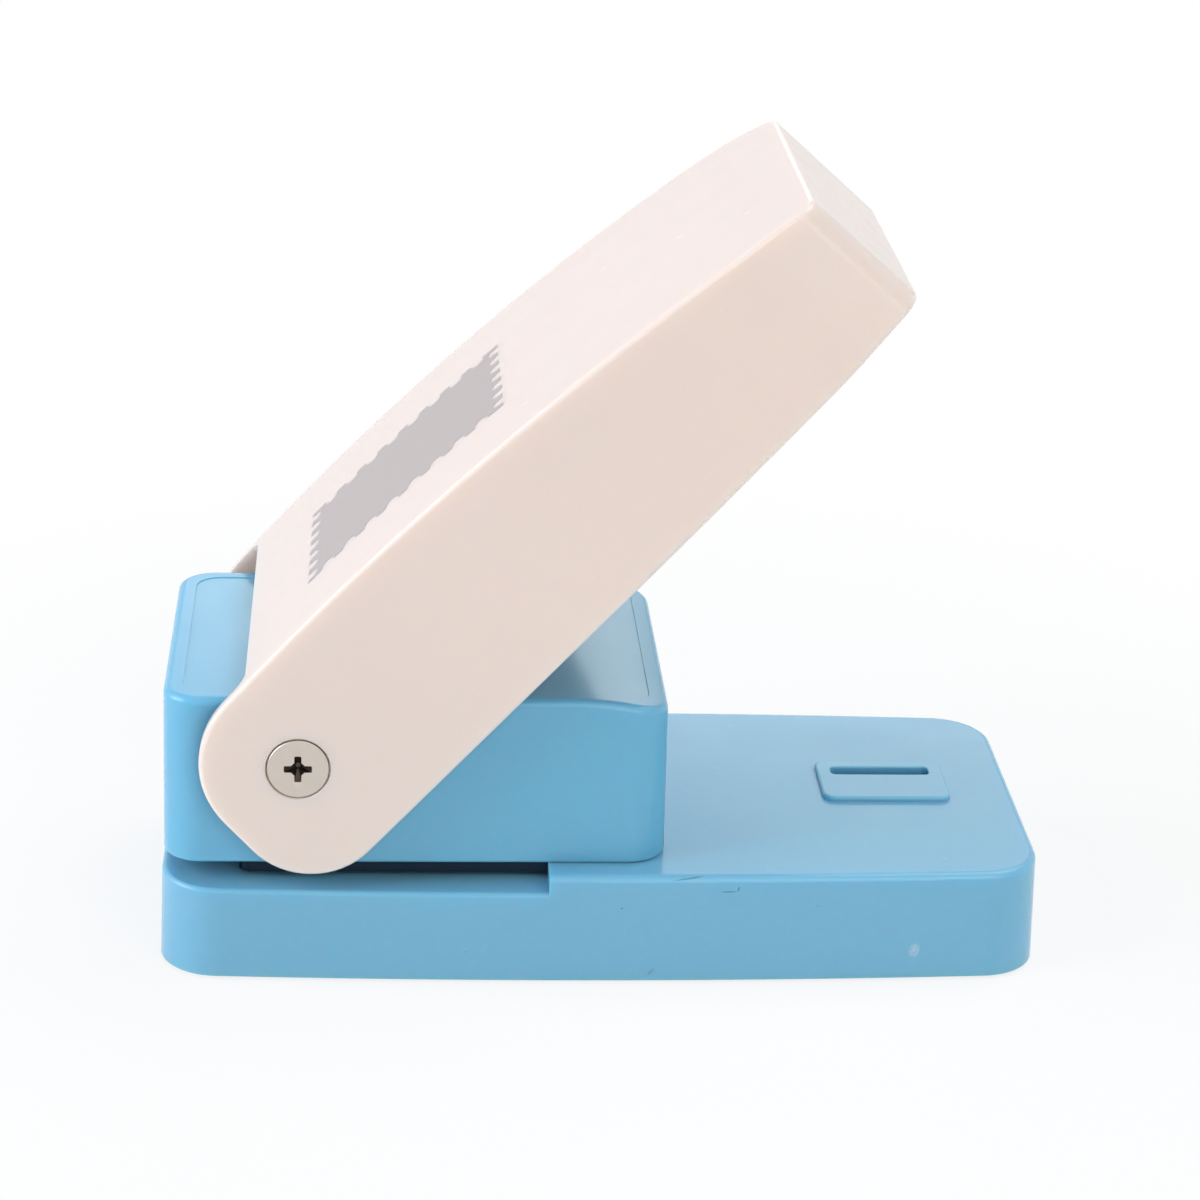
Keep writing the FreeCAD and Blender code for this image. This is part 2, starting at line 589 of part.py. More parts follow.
def housing_block(inset, sink):
    """The housing's outside, or its inside when inset and sink are walls."""
    block = drafted_box(HOUSING_LEFT + inset, HOUSING_RIGHT - inset, HOUSING_HALF_WIDTH - inset,
                        GUIDE_TOP, HOUSING_TOP + ROOF_SPARE, HOUSING_FLARE, HOUSING_CORNER - inset)
    roof = slope_prism(HOUSING_LEFT - ROOF_SPARE, HOUSING_RIGHT + ROOF_SPARE, sink,
                       GUIDE_TOP - ROOF_SPARE)
    return block.common(roof)


def roof_edges(shape):
    """Edges round the roof, without the level line where its slope begins."""
    lowest = HOUSING_TOP - 2 * HOUSING_SLOPE_DROP
    found = []
    for edge in shape.Edges:
        bounds = edge.BoundBox
        crease = bounds.XLength < TINY and abs(bounds.XMin - HOUSING_SLOPE_START) < TINY
        if bounds.ZMin > lowest and not crease:
            found.append(edge)
    return found


def panel_rim(shape):
    """Upper edges of the sunk panel in the housing's roof."""
    found = []
    for edge in shape.Edges:
        bounds = edge.BoundBox
        spot = edge.valueAt((edge.FirstParameter + edge.LastParameter) / 2)
        inside = (bounds.XMin > HOUSING_LEFT + PANEL_MARGIN - TINY
                  and bounds.XMax < HOUSING_RIGHT - PANEL_MARGIN + TINY
                  and bounds.YLength < 2 * (HOUSING_HALF_WIDTH - PANEL_MARGIN) + TINY)
        if inside and abs(spot.z - roof_height(spot.x, 0)) < TINY:
            found.append(edge)
    return found


def housing():
    outer = housing_block(0, 0)
    outer = outer.makeFillet(HOUSING_EDGE, roof_edges(outer))
    outer = outer.makeFillet(HOUSING_FOOT_EDGE, level_edges(outer, GUIDE_TOP))
    panel = rounded_box(HOUSING_LEFT + PANEL_MARGIN, HOUSING_RIGHT - PANEL_MARGIN,
                        -HOUSING_HALF_WIDTH + PANEL_MARGIN, HOUSING_HALF_WIDTH - PANEL_MARGIN,
                        PIVOT_Z, HOUSING_TOP + ROOF_SPARE, PANEL_CORNER)
    panel = panel.cut(slope_prism(HOUSING_LEFT, HOUSING_RIGHT, PANEL_DEPTH, GUIDE_TOP))
    cavity = housing_block(HOUSING_WALL, HOUSING_WALL + PANEL_DEPTH)
    roofed = outer.cut(panel)
    shell = roofed.makeFillet(PANEL_EDGE, panel_rim(roofed)).cut(cavity)
    wall = HOUSING_HALF_WIDTH - HOUSING_WALL / 2
    fillings = []
    for x, y in housing_screw_places():
        side = 1 if y > 0 else -1
        half = HOUSING_BOSS_RADIUS / 2
        fillings.append(rod_z(HOUSING_BOSS_RADIUS, x, y, GUIDE_TOP, HOUSING_BOSS_TOP))
        low, high = sorted((y, side * wall))
        fillings.append(box(x - half, x + half, low, high, GUIDE_TOP, HOUSING_BOSS_TOP))
    shell = joined([shell] + fillings)
    for x, y in housing_screw_places():
        shell = shell.cut(rod_z(SMALL_SCREW_RADIUS + THREAD_FIT, x, y, -FAR,
                                GUIDE_BOTTOM + SMALL_HEAD_THICKNESS + SMALL_SCREW_LENGTH + THREAD_SPARE))
    return shell.cut(rod_y(BUSH_RADIUS + SEAT_FIT, PIVOT_X, PIVOT_Z, -FAR, FAR))


def housing_screws():
    seat = GUIDE_BOTTOM + SMALL_HEAD_THICKNESS
    return Part.makeCompound([
        screw_from_below(x, y, seat, SMALL_SCREW_RADIUS, SMALL_HEAD_RADIUS, SMALL_HEAD_THICKNESS,
                         SMALL_SCREW_LENGTH) for x, y in housing_screw_places()])


def die_screws():
    length = SEAT_THICKNESS + DIE_THICKNESS - 2 * BLIND_LEFT
    return Part.makeCompound([
        screw_from_below(x, y, SEAT_BOTTOM, TOOL_SCREW_RADIUS, TOOL_HEAD_RADIUS, TOOL_HEAD_THICKNESS,
                         length) for x, y in die_screw_places()])


def stack_screws():
    length = GUIDE_TOP - SEAT_BOTTOM
    return Part.makeCompound([
        screw_from_below(x, y, SEAT_BOTTOM, TOOL_SCREW_RADIUS, TOOL_HEAD_RADIUS, TOOL_HEAD_THICKNESS,
                         length) for x, y in stack_screw_places()])


def axle_bush(side):
    """Flanged bush in one side wall of the housing; side is -1 in front and +1 behind."""
    inner = HOUSING_HALF_WIDTH - HOUSING_WALL
    outer = CHEEK_INNER - BUSH_THRUST_GAP
    body = rod_y(BUSH_RADIUS, PIVOT_X, PIVOT_Z, inner, outer)
    flange = rod_y(BUSH_RADIUS + BUSH_FLANGE, PIVOT_X, PIVOT_Z, inner - BUSH_FLANGE_THICKNESS, inner)
    bush = joined([body, flange]).cut(rod_y(AXLE_RADIUS + AXLE_RUNNING_FIT, PIVOT_X, PIVOT_Z, 0, FAR))
    if side < 0:
        return bush.mirror(vec(0, 0, 0), vec(0, 1, 0))
    return bush


def guide_post(x, y):
    post = rod_z(POST_RADIUS, x, y, GUIDE_BOTTOM, FLANGE_TOP)
    return post.makeChamfer(POST_CHAMFER, level_edges(post, FLANGE_TOP))


def biarc(start, leave, end, arrive):
    """Two tangent arcs from start, leaving along leave, to end, arriving along arrive."""
    chord = end - start
    total = leave + arrive
    spread = 2 * (1 - leave.dot(arrive))
    reach = chord.dot(total)
    handle = (math.sqrt(reach ** 2 + spread * chord.dot(chord)) - reach) / spread
    first = start + leave * handle
    second = end - arrive * handle
    middle = (first + second) * 0.5
    return [tangent_arc(start, first, middle), tangent_arc(middle, second, end)]


def tangent_arc(start, control, end):
    """Arc from start to end whose end tangents meet at control."""
    half = (start + end) * 0.5
    turn = (control - start).getAngle(end - control)
    rise = (end - start).Length / 2 * math.tan(turn / 4)
    return Part.Arc(start, half + (control - half).normalize() * rise, end).toShape()


def spring_path(x, y):
    """Centre line of the spring round a guide post, with its direction at the start."""
    low = GUIDE_TOP + SPRING_SEAT + SPRING_WIRE / 2
    high = FLANGE_BOTTOM - SPRING_SEAT - SPRING_WIRE / 2
    quarters = 4 * SPRING_TURNS
    lift = (high - low) / quarters
    slope = lift / (math.pi / 2)

    def place(quarter):
        angle = quarter * math.pi / 2
        return vec(x + SPRING_MEAN_RADIUS * math.cos(angle), y + SPRING_MEAN_RADIUS * math.sin(angle),
                   low + quarter * lift)

    def heading(quarter):
        angle = quarter * math.pi / 2
        side = -SPRING_MEAN_RADIUS * math.sin(angle)
        return vec(side, SPRING_MEAN_RADIUS * math.cos(angle), slope).normalize()

    edges = []
    for quarter in range(quarters):
        edges += biarc(place(quarter), heading(quarter), place(quarter + 1), heading(quarter + 1))
    return Part.Wire(edges), place(0), heading(0)


def return_spring(x, y):
    """Compression spring round a guide post, one unbroken wire."""
    path, start, direction = spring_path(x, y)
    ring = Part.Wire([Part.Circle(start, direction, SPRING_WIRE / 2).toShape()])
    return path.makePipeShell([ring], True, False)


def carriage():
    """Pressed steel carrier of the cutting punch, with four raised ears for the posts."""
    x0 = STAMP_CENTRE_X - STAMP_LENGTH / 2 - CARRIAGE_OVERHANG
    x1 = STAMP_CENTRE_X + STAMP_LENGTH / 2 + CARRIAGE_OVERHANG
    pieces = [box(x0, x1, -WEB_HALF_WIDTH, WEB_HALF_WIDTH, WEB_BOTTOM, WEB_TOP)]
    for x, y in post_places():
        side = 1 if y > 0 else -1
        left = max(x0, x - EAR_HALF_LENGTH)
        right = min(x1, x + EAR_HALF_LENGTH)
        low, high = sorted((side * (WEB_HALF_WIDTH - WEB_THICKNESS), side * WEB_HALF_WIDTH))
        pieces.append(box(left, right, low, high, WEB_BOTTOM, FLANGE_TOP))
        low, high = sorted((side * (WEB_HALF_WIDTH - WEB_THICKNESS), side * FLANGE_HALF_WIDTH))
        pieces.append(box(left, right, low, high, FLANGE_BOTTOM, FLANGE_TOP))
    plate = joined(pieces)
    for x, y in post_places():
        plate = plate.cut(rod_z(SLIDE_BUSH_RADIUS + SEAT_FIT, x, y, -FAR, FAR))
    plate = plate.cut(pad_pocket(PAD_PLATE_CLEARANCE))
    for x, y in punch_screw_places():
        plate = plate.cut(rod_z(SMALL_SCREW_RADIUS + HEAD_CLEARANCE, x, y, -FAR, FAR))
        plate = plate.cut(rod_z(SMALL_HEAD_RADIUS + HEAD_CLEARANCE / 2, x, y,
                                WEB_TOP - SMALL_HEAD_THICKNESS, WEB_TOP + TINY))
    return plate


def pad_pocket(clearance):
    centre = PIVOT_X + CAM_LEAD
    half_length = PAD_PLATE_LENGTH / 2 + clearance
    half_width = PAD_PLATE_HALF_WIDTH + clearance
    return box(centre - half_length, centre + half_length, -half_width, half_width,
               PAD_TOP - PAD_PLATE_THICKNESS, PAD_TOP)


def wear_pad():
    plate = pad_pocket(0)
    return plate.makeChamfer(WEB_TOP_BELOW_PAD / 2, level_edges(plate, PAD_TOP))


def punch_screw_places():
    return mirrored_places(STAMP_CENTRE_X, STAMP_LENGTH / 2 - PUNCH_SCREW_INSET_X,
                           STAMP_WIDTH / 2 - PUNCH_SCREW_INSET_Y)


def punch_screws():
    """Screws from above; each is the screw from below turned over."""
    screws = []
    for x, y in punch_screw_places():
        screw = screw_from_below(x, y, 0, SMALL_SCREW_RADIUS, SMALL_HEAD_RADIUS, SMALL_HEAD_THICKNESS,
                                 SMALL_SCREW_LENGTH)
        screw = screw.mirror(vec(0, 0, 0), vec(0, 0, 1))
        screw.translate(vec(0, 0, WEB_TOP - SMALL_HEAD_THICKNESS))
        screws.append(screw)
    return Part.makeCompound(screws)


def stamp_punch():
    punch = stamp_prism(0, PUNCH_BOTTOM, WEB_BOTTOM)
    depth = WEB_TOP - SMALL_HEAD_THICKNESS - SMALL_SCREW_LENGTH - BLIND_LEFT
    for x, y in punch_screw_places():
        punch = punch.cut(rod_z(SMALL_SCREW_RADIUS + THREAD_FIT, x, y, depth, FAR))
    return punch


def slide_bushes():
    bushes = []
    for x, y in post_places():
        bush = rod_z(SLIDE_BUSH_RADIUS, x, y, FLANGE_BOTTOM, FLANGE_TOP)
        bushes.append(bush.cut(rod_z(POST_RADIUS + POST_RUNNING_FIT, x, y, -FAR, FAR)))
    return Part.makeCompound(bushes)


def raised(shape):
    """Turns a shape from the lever's side view to where it is with the lever up."""
    shape = shape.copy()
    shape.rotate(vec(0, 0, 0), vec(0, 1, 0), -LEVER_RAISE)
    shape.translate(vec(PIVOT_X, 0, PIVOT_Z))
    return shape


def crown_height(u, sink):
    """V of the lever's roof line, sunk by sink, at u."""
    return CROWN_PEAK_V - CROWN_RADIUS + math.sqrt((CROWN_RADIUS - sink) ** 2 - (u - CROWN_PEAK_U) ** 2)


def heel_drop():
    """How far the cheeks reach below the pivot, so that the raised lever clears the throat floor."""
    raise_angle = math.radians(LEVER_RAISE)
    corner_u = HEEL_LOWER_RADIUS - HEEL_REACH
    corner_z = THROAT_FLOOR + HEEL_CLEARANCE + HEEL_LOWER_RADIUS
    corner_v = (corner_z - PIVOT_Z - corner_u * math.sin(raise_angle)) / math.cos(raise_angle)
    return HEEL_LOWER_RADIUS - corner_v


def nose_top_height():
    return crown_height(NOSE_TOP_U, 0) - BEVEL_DROP


def heel_centre():
    """Centre of the heel's upper arc, which touches both the heel line and the crown."""
    u = HEEL_UPPER_RADIUS - HEEL_REACH
    reach = CROWN_RADIUS - HEEL_UPPER_RADIUS
    return vec(u, 0, CROWN_PEAK_V - CROWN_RADIUS + math.sqrt(reach ** 2 - (u - CROWN_PEAK_U) ** 2))


def lever_profile():
    """The lever's side outline as a face in the U-V plane."""
    centre = heel_centre()
    crown_centre = vec(CROWN_PEAK_U, 0, CROWN_PEAK_V - CROWN_RADIUS)
    roof_start = centre + (centre - crown_centre).normalize() * HEEL_UPPER_RADIUS
    heel_top = vec(-HEEL_REACH, 0, centre.z)
    diagonal = ((roof_start - centre).normalize() + (heel_top - centre).normalize()).normalize()
    heel_low = vec(-HEEL_REACH, 0, -heel_drop())
    bevel = vec(BEVEL_START, 0, crown_height(BEVEL_START, 0))
    nose_top = vec(NOSE_TOP_U, 0, nose_top_height())
    crease_end = bevel + (nose_top - bevel).normalize() * BEVEL_BLEND
    crease_start = vec(BEVEL_START - BEVEL_BLEND, 0, crown_height(BEVEL_START - BEVEL_BLEND, 0))
    nose_bottom = vec(NOSE_BOTTOM_U, 0, NOSE_BOTTOM_V)
    middle = vec(CROWN_PEAK_U, 0, CROWN_PEAK_V)
    edges = [Part.Arc(roof_start, middle, crease_start).toShape(),
             tangent_arc(crease_start, bevel, crease_end),
             Part.LineSegment(crease_end, nose_top).toShape(),
             Part.LineSegment(nose_top, nose_bottom).toShape(),
             Part.LineSegment(nose_bottom, heel_low).toShape(),
             Part.LineSegment(heel_low, heel_top).toShape(),
             Part.Arc(heel_top, centre + diagonal * HEEL_UPPER_RADIUS, roof_start).toShape()]
    return Part.Face(Part.Wire(edges))


def lever_plan(inset):
    """Prism square to the lever: straight cheeks, then sides that draw in towards the nose."""
    radius = (TAPER_LENGTH ** 2 + TAPER_DRAW_IN ** 2) / (2 * TAPER_DRAW_IN)
    turn = math.asin((TURN_START - TAPER_START) / radius)
    last = turn + math.radians(TURN_ANGLE)
    taper_centre = (TAPER_START, LEVER_HALF_WIDTH - radius)
    turn_centre = (taper_centre[0] + (radius - TURN_RADIUS) * math.sin(turn),
                   taper_centre[1] + (radius - TURN_RADIUS) * math.cos(turn))

    def arc(side, centre, reach, start, end):
        return [vec(centre[0] + reach * math.sin(angle), side * (centre[1] + reach * math.cos(angle)), -FAR)
                for angle in (start, (start + end) / 2, end)]

    edges = []
    for side in (-1, 1):
        taper = arc(side, taper_centre, radius - inset, 0, turn)
        bend = arc(side, turn_centre, TURN_RADIUS - inset, turn, last)
        heel = vec(-2 * HEEL_REACH, taper[0].y, -FAR)
        left = NOSE_BOTTOM_U + NOSE_SPARE - bend[2].x
        nose = bend[2] + vec(left, -side * left * math.tan(last), 0)
        edges += [Part.LineSegment(heel, taper[0]), Part.Arc(*taper), Part.Arc(*bend),
                  Part.LineSegment(bend[2], nose), Part.LineSegment(heel, vec(heel.x, 0, -FAR)),
                  Part.LineSegment(nose, vec(nose.x, 0, -FAR))]
    outline = Part.sortEdges([edge.toShape() for edge in edges])[0]
    return Part.Face(Part.Wire(outline)).extrude(vec(0, 0, 2 * FAR))


def heel_corner(shape):
    """Edge across the lever where the heel meets the lower edges of the cheeks."""
    found = []
    for edge in shape.Edges:
        bounds = edge.BoundBox
        near = math.hypot(bounds.Center.x + HEEL_REACH, bounds.Center.z + heel_drop()) < TINY
        if near and bounds.XLength < TINY:
            found.append(edge)
    return found


def nose_uprights(shape):
    return [edge for edge in shape.Edges
            if edge.BoundBox.ZLength > -NOSE_BOTTOM_V and edge.BoundBox.XMin > BEVEL_START]


def rim_edges(shape):
    """Edges along both sides and round the nose, without creases and seams between smooth faces."""
    rim = []
    for edge in shape.Edges:
        bounds = edge.BoundBox
        seam = bounds.ZLength > -2 * NOSE_BOTTOM_V and bounds.XLength < 2 * NOSE_RAKE
        across = bounds.YLength > LEVER_HALF_WIDTH and bounds.XMax < NOSE_TOP_U - TINY
        if not seam and not across:
            rim.append(edge)
    return rim


def lever_outer():
    profile = lever_profile()
    profile.translate(vec(0, -FAR, 0))
    solid = profile.extrude(vec(0, 2 * FAR, 0)).common(lever_plan(0))
    solid = solid.makeFillet(HEEL_LOWER_RADIUS, heel_corner(solid))
    solid = solid.makeFillet(NOSE_SIDE_RADIUS, nose_uprights(solid))
    return solid.makeFillet(LEVER_EDGE, rim_edges(solid))


def lever_cavity():
    """Room under the roof, open downwards and towards the heel."""
    nose_top = vec(NOSE_TOP_U - LEVER_NOSE_WALL, -FAR, nose_top_height() - LEVER_TOP_WALL)
    nose_bottom = vec(NOSE_BOTTOM_U - LEVER_NOSE_WALL, -FAR, NOSE_BOTTOM_V)
    nose_end = nose_bottom + (nose_bottom - nose_top)
    heel = -2 * HEEL_REACH
    roof_start = vec(heel, -FAR, crown_height(heel, LEVER_TOP_WALL))
    middle = vec(CROWN_PEAK_U, -FAR, CROWN_PEAK_V - LEVER_TOP_WALL)
    bevel = vec(BEVEL_START, -FAR, crown_height(BEVEL_START, LEVER_TOP_WALL))
    edges = [Part.Arc(roof_start, middle, bevel),
             Part.LineSegment(bevel, nose_top),
             Part.LineSegment(nose_top, nose_end),
             Part.LineSegment(nose_end, vec(heel, -FAR, nose_end.z)),
             Part.LineSegment(vec(heel, -FAR, nose_end.z), roof_start)]
    side = Part.Face(Part.Wire([edge.toShape() for edge in edges])).extrude(vec(0, 2 * FAR, 0))
    return side.common(lever_plan(LEVER_SIDE_WALL))


def heel_gap():
    """Room between the cheeks behind the rear edge of the roof."""
    gap = box(-2 * HEEL_REACH, ROOF_START, -CHEEK_INNER, CHEEK_INNER, -FAR, FAR)
    corners = [edge for edge in upright_edges(gap, 2 * FAR) if edge.BoundBox.XMin > 0]
    return gap.makeFillet(ROOF_CORNER, corners)


def key_flats(radius, flat, y0, y1):
    """Round bar along Y with two flats across V."""
    return rod_y(radius, 0, 0, y0, y1).common(box(-FAR, FAR, y0, y1, -flat, flat))


def rib(u):
    top = crown_height(u, LEVER_TOP_WALL / 2)
    plain = box(u, u + RIB_THICKNESS, -FAR, FAR, top - LEVER_TOP_WALL - RIB_DEPTH, top)
    return plain.common(lever_plan(LEVER_SIDE_WALL / 2))


def catch():
    """Tongue under the roof that drops into the base's slot when the lever is pressed."""
    pressed = math.radians(LEVER_RAISE - LEVER_TRAVEL)
    x = PAD_CENTRE_X - PIVOT_X
    z = BASE_TOP + PAD_RISE - CATCH_DEPTH_IN_SLOT - PIVOT_Z
    u = x * math.cos(pressed) + z * math.sin(pressed)
    v = z * math.cos(pressed) - x * math.sin(pressed)
    half = CATCH_LENGTH / 2
    left = u - half - CATCH_SLANT
    right = u + half + CATCH_SLANT
    y0 = SLOT_CENTRE_Y - CATCH_THICKNESS / 2
    corners = [vec(u - half, y0, v), vec(u + half, y0, v),
               vec(right, y0, crown_height(right, LEVER_TOP_WALL / 2)),
               vec(left, y0, crown_height(left, LEVER_TOP_WALL / 2)), vec(u - half, y0, v)]
    return Part.Face(Part.makePolygon(corners)).extrude(vec(0, CATCH_THICKNESS, 0))


def round_edges(shape, radius, reach):
    """Whole circles of that radius that lie square to Y at that distance from the middle."""
    return [edge for edge in shape.Edges
            if edge.Curve.TypeId == "Part::GeomCircle" and abs(edge.Curve.Radius - radius) < TINY
            and abs(abs(edge.CenterOfMass.y) - reach) < TINY]


def lever():
    ribs = [rib(RIB_START + index * RIB_SPACING) for index in range(RIB_COUNT)]
    shell = lever_outer().cut(lever_cavity()).cut(heel_gap())
    shell = joined([shell, catch()] + ribs)
    seat = LEVER_HALF_WIDTH - PIVOT_HEAD_THICKNESS
    hole = PIVOT_HEAD_RADIUS + PIVOT_HEAD_CLEARANCE
    shell = shell.cut(key_flats(AXLE_RADIUS + KEY_CLEARANCE, AXLE_FLAT + KEY_CLEARANCE, -FAR, FAR))
    for low, high in ((seat, FAR), (-FAR, -seat)):
        shell = shell.cut(rod_y(hole, 0, 0, low, high))
    return raised(shell.makeChamfer(PIVOT_HEAD_EDGE, round_edges(shell, hole, LEVER_HALF_WIDTH)))


def pivot_axle():
    seat = LEVER_HALF_WIDTH - PIVOT_HEAD_THICKNESS
    middle = rod_y(AXLE_RADIUS, 0, 0, -CHEEK_INNER, CHEEK_INNER)
    keyed = key_flats(AXLE_RADIUS, AXLE_FLAT, -seat, seat)
    axle = joined([middle, keyed])
    thread = PIVOT_THREAD_RADIUS + THREAD_FIT
    depth = seat - PIVOT_THREAD_LENGTH - BLIND_LEFT
    for low, high in ((depth, FAR), (-FAR, -depth)):
        axle = axle.cut(rod_y(thread, 0, 0, low, high))
    return raised(axle.cut(cam_pin_hole()))


def pivot_screw(side):
    """Flat cross-head screw that clamps a cheek to the axle; side is -1 in front, +1 behind."""
    face = LEVER_HALF_WIDTH
    seat = face - PIVOT_HEAD_THICKNESS
    head = rod_y(PIVOT_HEAD_RADIUS, 0, 0, seat, face)
    head = head.makeChamfer(PIVOT_HEAD_EDGE, round_edges(head, PIVOT_HEAD_RADIUS, face))
    thread = rod_y(PIVOT_THREAD_RADIUS, 0, 0, seat - PIVOT_THREAD_LENGTH, seat)
    half = CROSS_LENGTH / 2
    arm = CROSS_WIDTH / 2
    driver = joined([box(-half, half, face - CROSS_DEPTH, face + TINY, -arm, arm),
                     box(-arm, arm, face - CROSS_DEPTH, face + TINY, -half, half)])
    driver.rotate(vec(0, 0, 0), vec(0, 1, 0), LEVER_RAISE)
    screw = joined([head, thread]).cut(driver)
    if side < 0:
        screw = screw.mirror(vec(0, 0, 0), vec(0, 1, 0))
    return raised(screw)


def pivot_screws():
    return Part.makeCompound([pivot_screw(-1), pivot_screw(1)])


def cam_pin_hole():
    return Part.makeCylinder(CAM_PIN_RADIUS + SEAT_FIT, 2 * FAR, vec(-FAR, 0, 0), vec(1, 0, 0))


def cam_pin():
    half = CAM_REACH - CAM_PIN_INSET
    return raised(Part.makeCylinder(CAM_PIN_RADIUS, 2 * half, vec(-half, 0, 0), vec(1, 0, 0)))


def cam_point(swing):
    """Point of the cam that presses when the lever has swung by this angle.

    The face keeps the distance CAM_REACH + CAM_LEAD * swing from the pivot, so it is part
    of an involute and the punch goes down in step with the lever.
    """
    reach = CAM_REACH + CAM_LEAD * swing
    x = reach * math.sin(swing) + CAM_LEAD * math.cos(swing)
    z = CAM_LEAD * math.sin(swing) - reach * math.cos(swing)
    return vec(x, -CAM_HALF_WIDTH, z)


def cam():
    full_swing = math.radians(LEVER_TRAVEL)
    points = [cam_point(full_swing * step / CAM_STEPS) for step in range(CAM_STEPS + 1)]
    curve = Part.BSplineCurve()
    curve.interpolate(points)
    centre = vec(0, -CAM_HALF_WIDTH, 0)
    below = vec(0, -CAM_HALF_WIDTH, -CAM_REACH)
    away = vec(CAM_REACH * math.cos(full_swing), -CAM_HALF_WIDTH, CAM_REACH * math.sin(full_swing))
    edges = [Part.LineSegment(centre, below).toShape(), Part.LineSegment(below, points[0]).toShape(),
             curve.toShape(), Part.LineSegment(points[-1], away).toShape(),
             Part.LineSegment(away, centre).toShape()]
    lobe = Part.Face(Part.Wire(edges)).extrude(vec(0, 2 * CAM_HALF_WIDTH, 0))
    hub = rod_y(CAM_REACH, 0, 0, -CAM_HALF_WIDTH, CAM_HALF_WIDTH)
    body = joined([hub, lobe]).cut(rod_y(AXLE_RADIUS + SEAT_FIT, 0, 0, -FAR, FAR))
    pin = cam_pin_hole()
    pin.rotate(vec(0, 0, 0), vec(0, 1, 0), -LEVER_RAISE)
    body = body.cut(pin)
    body.translate(vec(PIVOT_X, 0, PIVOT_Z))
    return body


def save(name, shape):
    shape.exportStep("parts/" + name + ".step")
    solids = shape.Solids
    print(name, "solids", len(solids), "volume", round(shape.Volume, 1), "valid", shape.isValid())


def least_spring_gap():
    """Least clear space between a return spring's turns, measured on points of its centre line."""
    points = spring_path(0, 0)[0].discretize(SPRING_SAMPLES_COUNT)
    apart = SPRING_SAMPLES_COUNT // (2 * SPRING_TURNS)
    least = min(points[i].distanceToPoint(points[j])
                for i in range(len(points)) for j in range(i + apart, len(points)))
    return least - SPRING_WIRE


def main():
    os.makedirs("parts", exist_ok=True)
    save("base_shell", base_shell())
    save("bottom_cover", bottom_cover())
    save("bottom_screws", bottom_screws())
    save("rubber_feet", rubber_feet())
    save("die_plate", die_plate())
    save("die_screws", die_screws())
    save("throat_spacer", throat_spacer())
    save("guide_plate", guide_plate())
    save("stack_screws", stack_screws())
    save("housing", housing())
    save("housing_screws", housing_screws())
    save("axle_bush_front", axle_bush(-1))
    save("axle_bush_rear", axle_bush(1))
    for number, (x, y) in enumerate(post_places(), 1):
        save("guide_post_" + str(number), guide_post(x, y))
        save("return_spring_" + str(number), return_spring(x, y))
    save("stamp_punch", stamp_punch())
    save("punch_carriage", carriage())
    save("punch_screws", punch_screws())
    save("wear_pad", wear_pad())
    save("slide_bushes", slide_bushes())
    save("lever", lever())
    save("pivot_axle", pivot_axle())
    save("pivot_screws", pivot_screws())
    save("cam", cam())
    save("cam_pin", cam_pin())
    print("least gap between spring turns", round(least_spring_gap(), 2))


if __name__ == "__main__":
    main()
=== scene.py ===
import json
import math

import bmesh
import bpy
from mathutils import Matrix, Vector
from mathutils.geometry import delaunay_2d_cdt


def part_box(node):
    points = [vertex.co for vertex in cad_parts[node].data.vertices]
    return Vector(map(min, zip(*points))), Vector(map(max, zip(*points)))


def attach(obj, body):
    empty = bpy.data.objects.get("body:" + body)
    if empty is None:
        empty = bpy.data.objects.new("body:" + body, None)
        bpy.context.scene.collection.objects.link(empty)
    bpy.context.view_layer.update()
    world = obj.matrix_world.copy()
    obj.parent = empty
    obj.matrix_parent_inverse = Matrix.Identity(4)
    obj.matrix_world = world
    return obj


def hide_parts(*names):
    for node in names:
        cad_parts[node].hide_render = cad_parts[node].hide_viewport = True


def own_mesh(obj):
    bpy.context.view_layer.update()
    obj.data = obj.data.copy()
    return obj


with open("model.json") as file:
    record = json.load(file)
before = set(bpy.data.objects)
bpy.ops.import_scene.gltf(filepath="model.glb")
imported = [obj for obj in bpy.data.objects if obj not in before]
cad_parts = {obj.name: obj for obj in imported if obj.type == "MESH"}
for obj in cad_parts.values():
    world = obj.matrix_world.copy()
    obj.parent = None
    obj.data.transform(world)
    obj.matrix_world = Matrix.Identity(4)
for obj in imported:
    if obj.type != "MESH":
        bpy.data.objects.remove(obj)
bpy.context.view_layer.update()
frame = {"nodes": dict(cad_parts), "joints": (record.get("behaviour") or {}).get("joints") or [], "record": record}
nodes = frame["nodes"]

MM = 0.001
WHITE = (1.0, 1.0, 1.0, 1.0)

# Camera, fitted to the object's edges in the photograph
CAMERA_PLACE = Vector((-37.07, -497.33, 250.3)) * MM
CAMERA_YAW = -0.0739944
CAMERA_PITCH = 0.3776882
CAMERA_ROLL = 0.0349613
CAMERA_LENS = 99.0
SENSOR = 36.0

# Lever, as the part's source has it: U runs along the lever, V square to it, both from the pivot
hinge = next(j for j in frame["joints"] if j["name"] == "lever_hinge")
PIVOT = Vector(hinge["pos_m"])
LEVER_RAISE = math.radians(42.5)


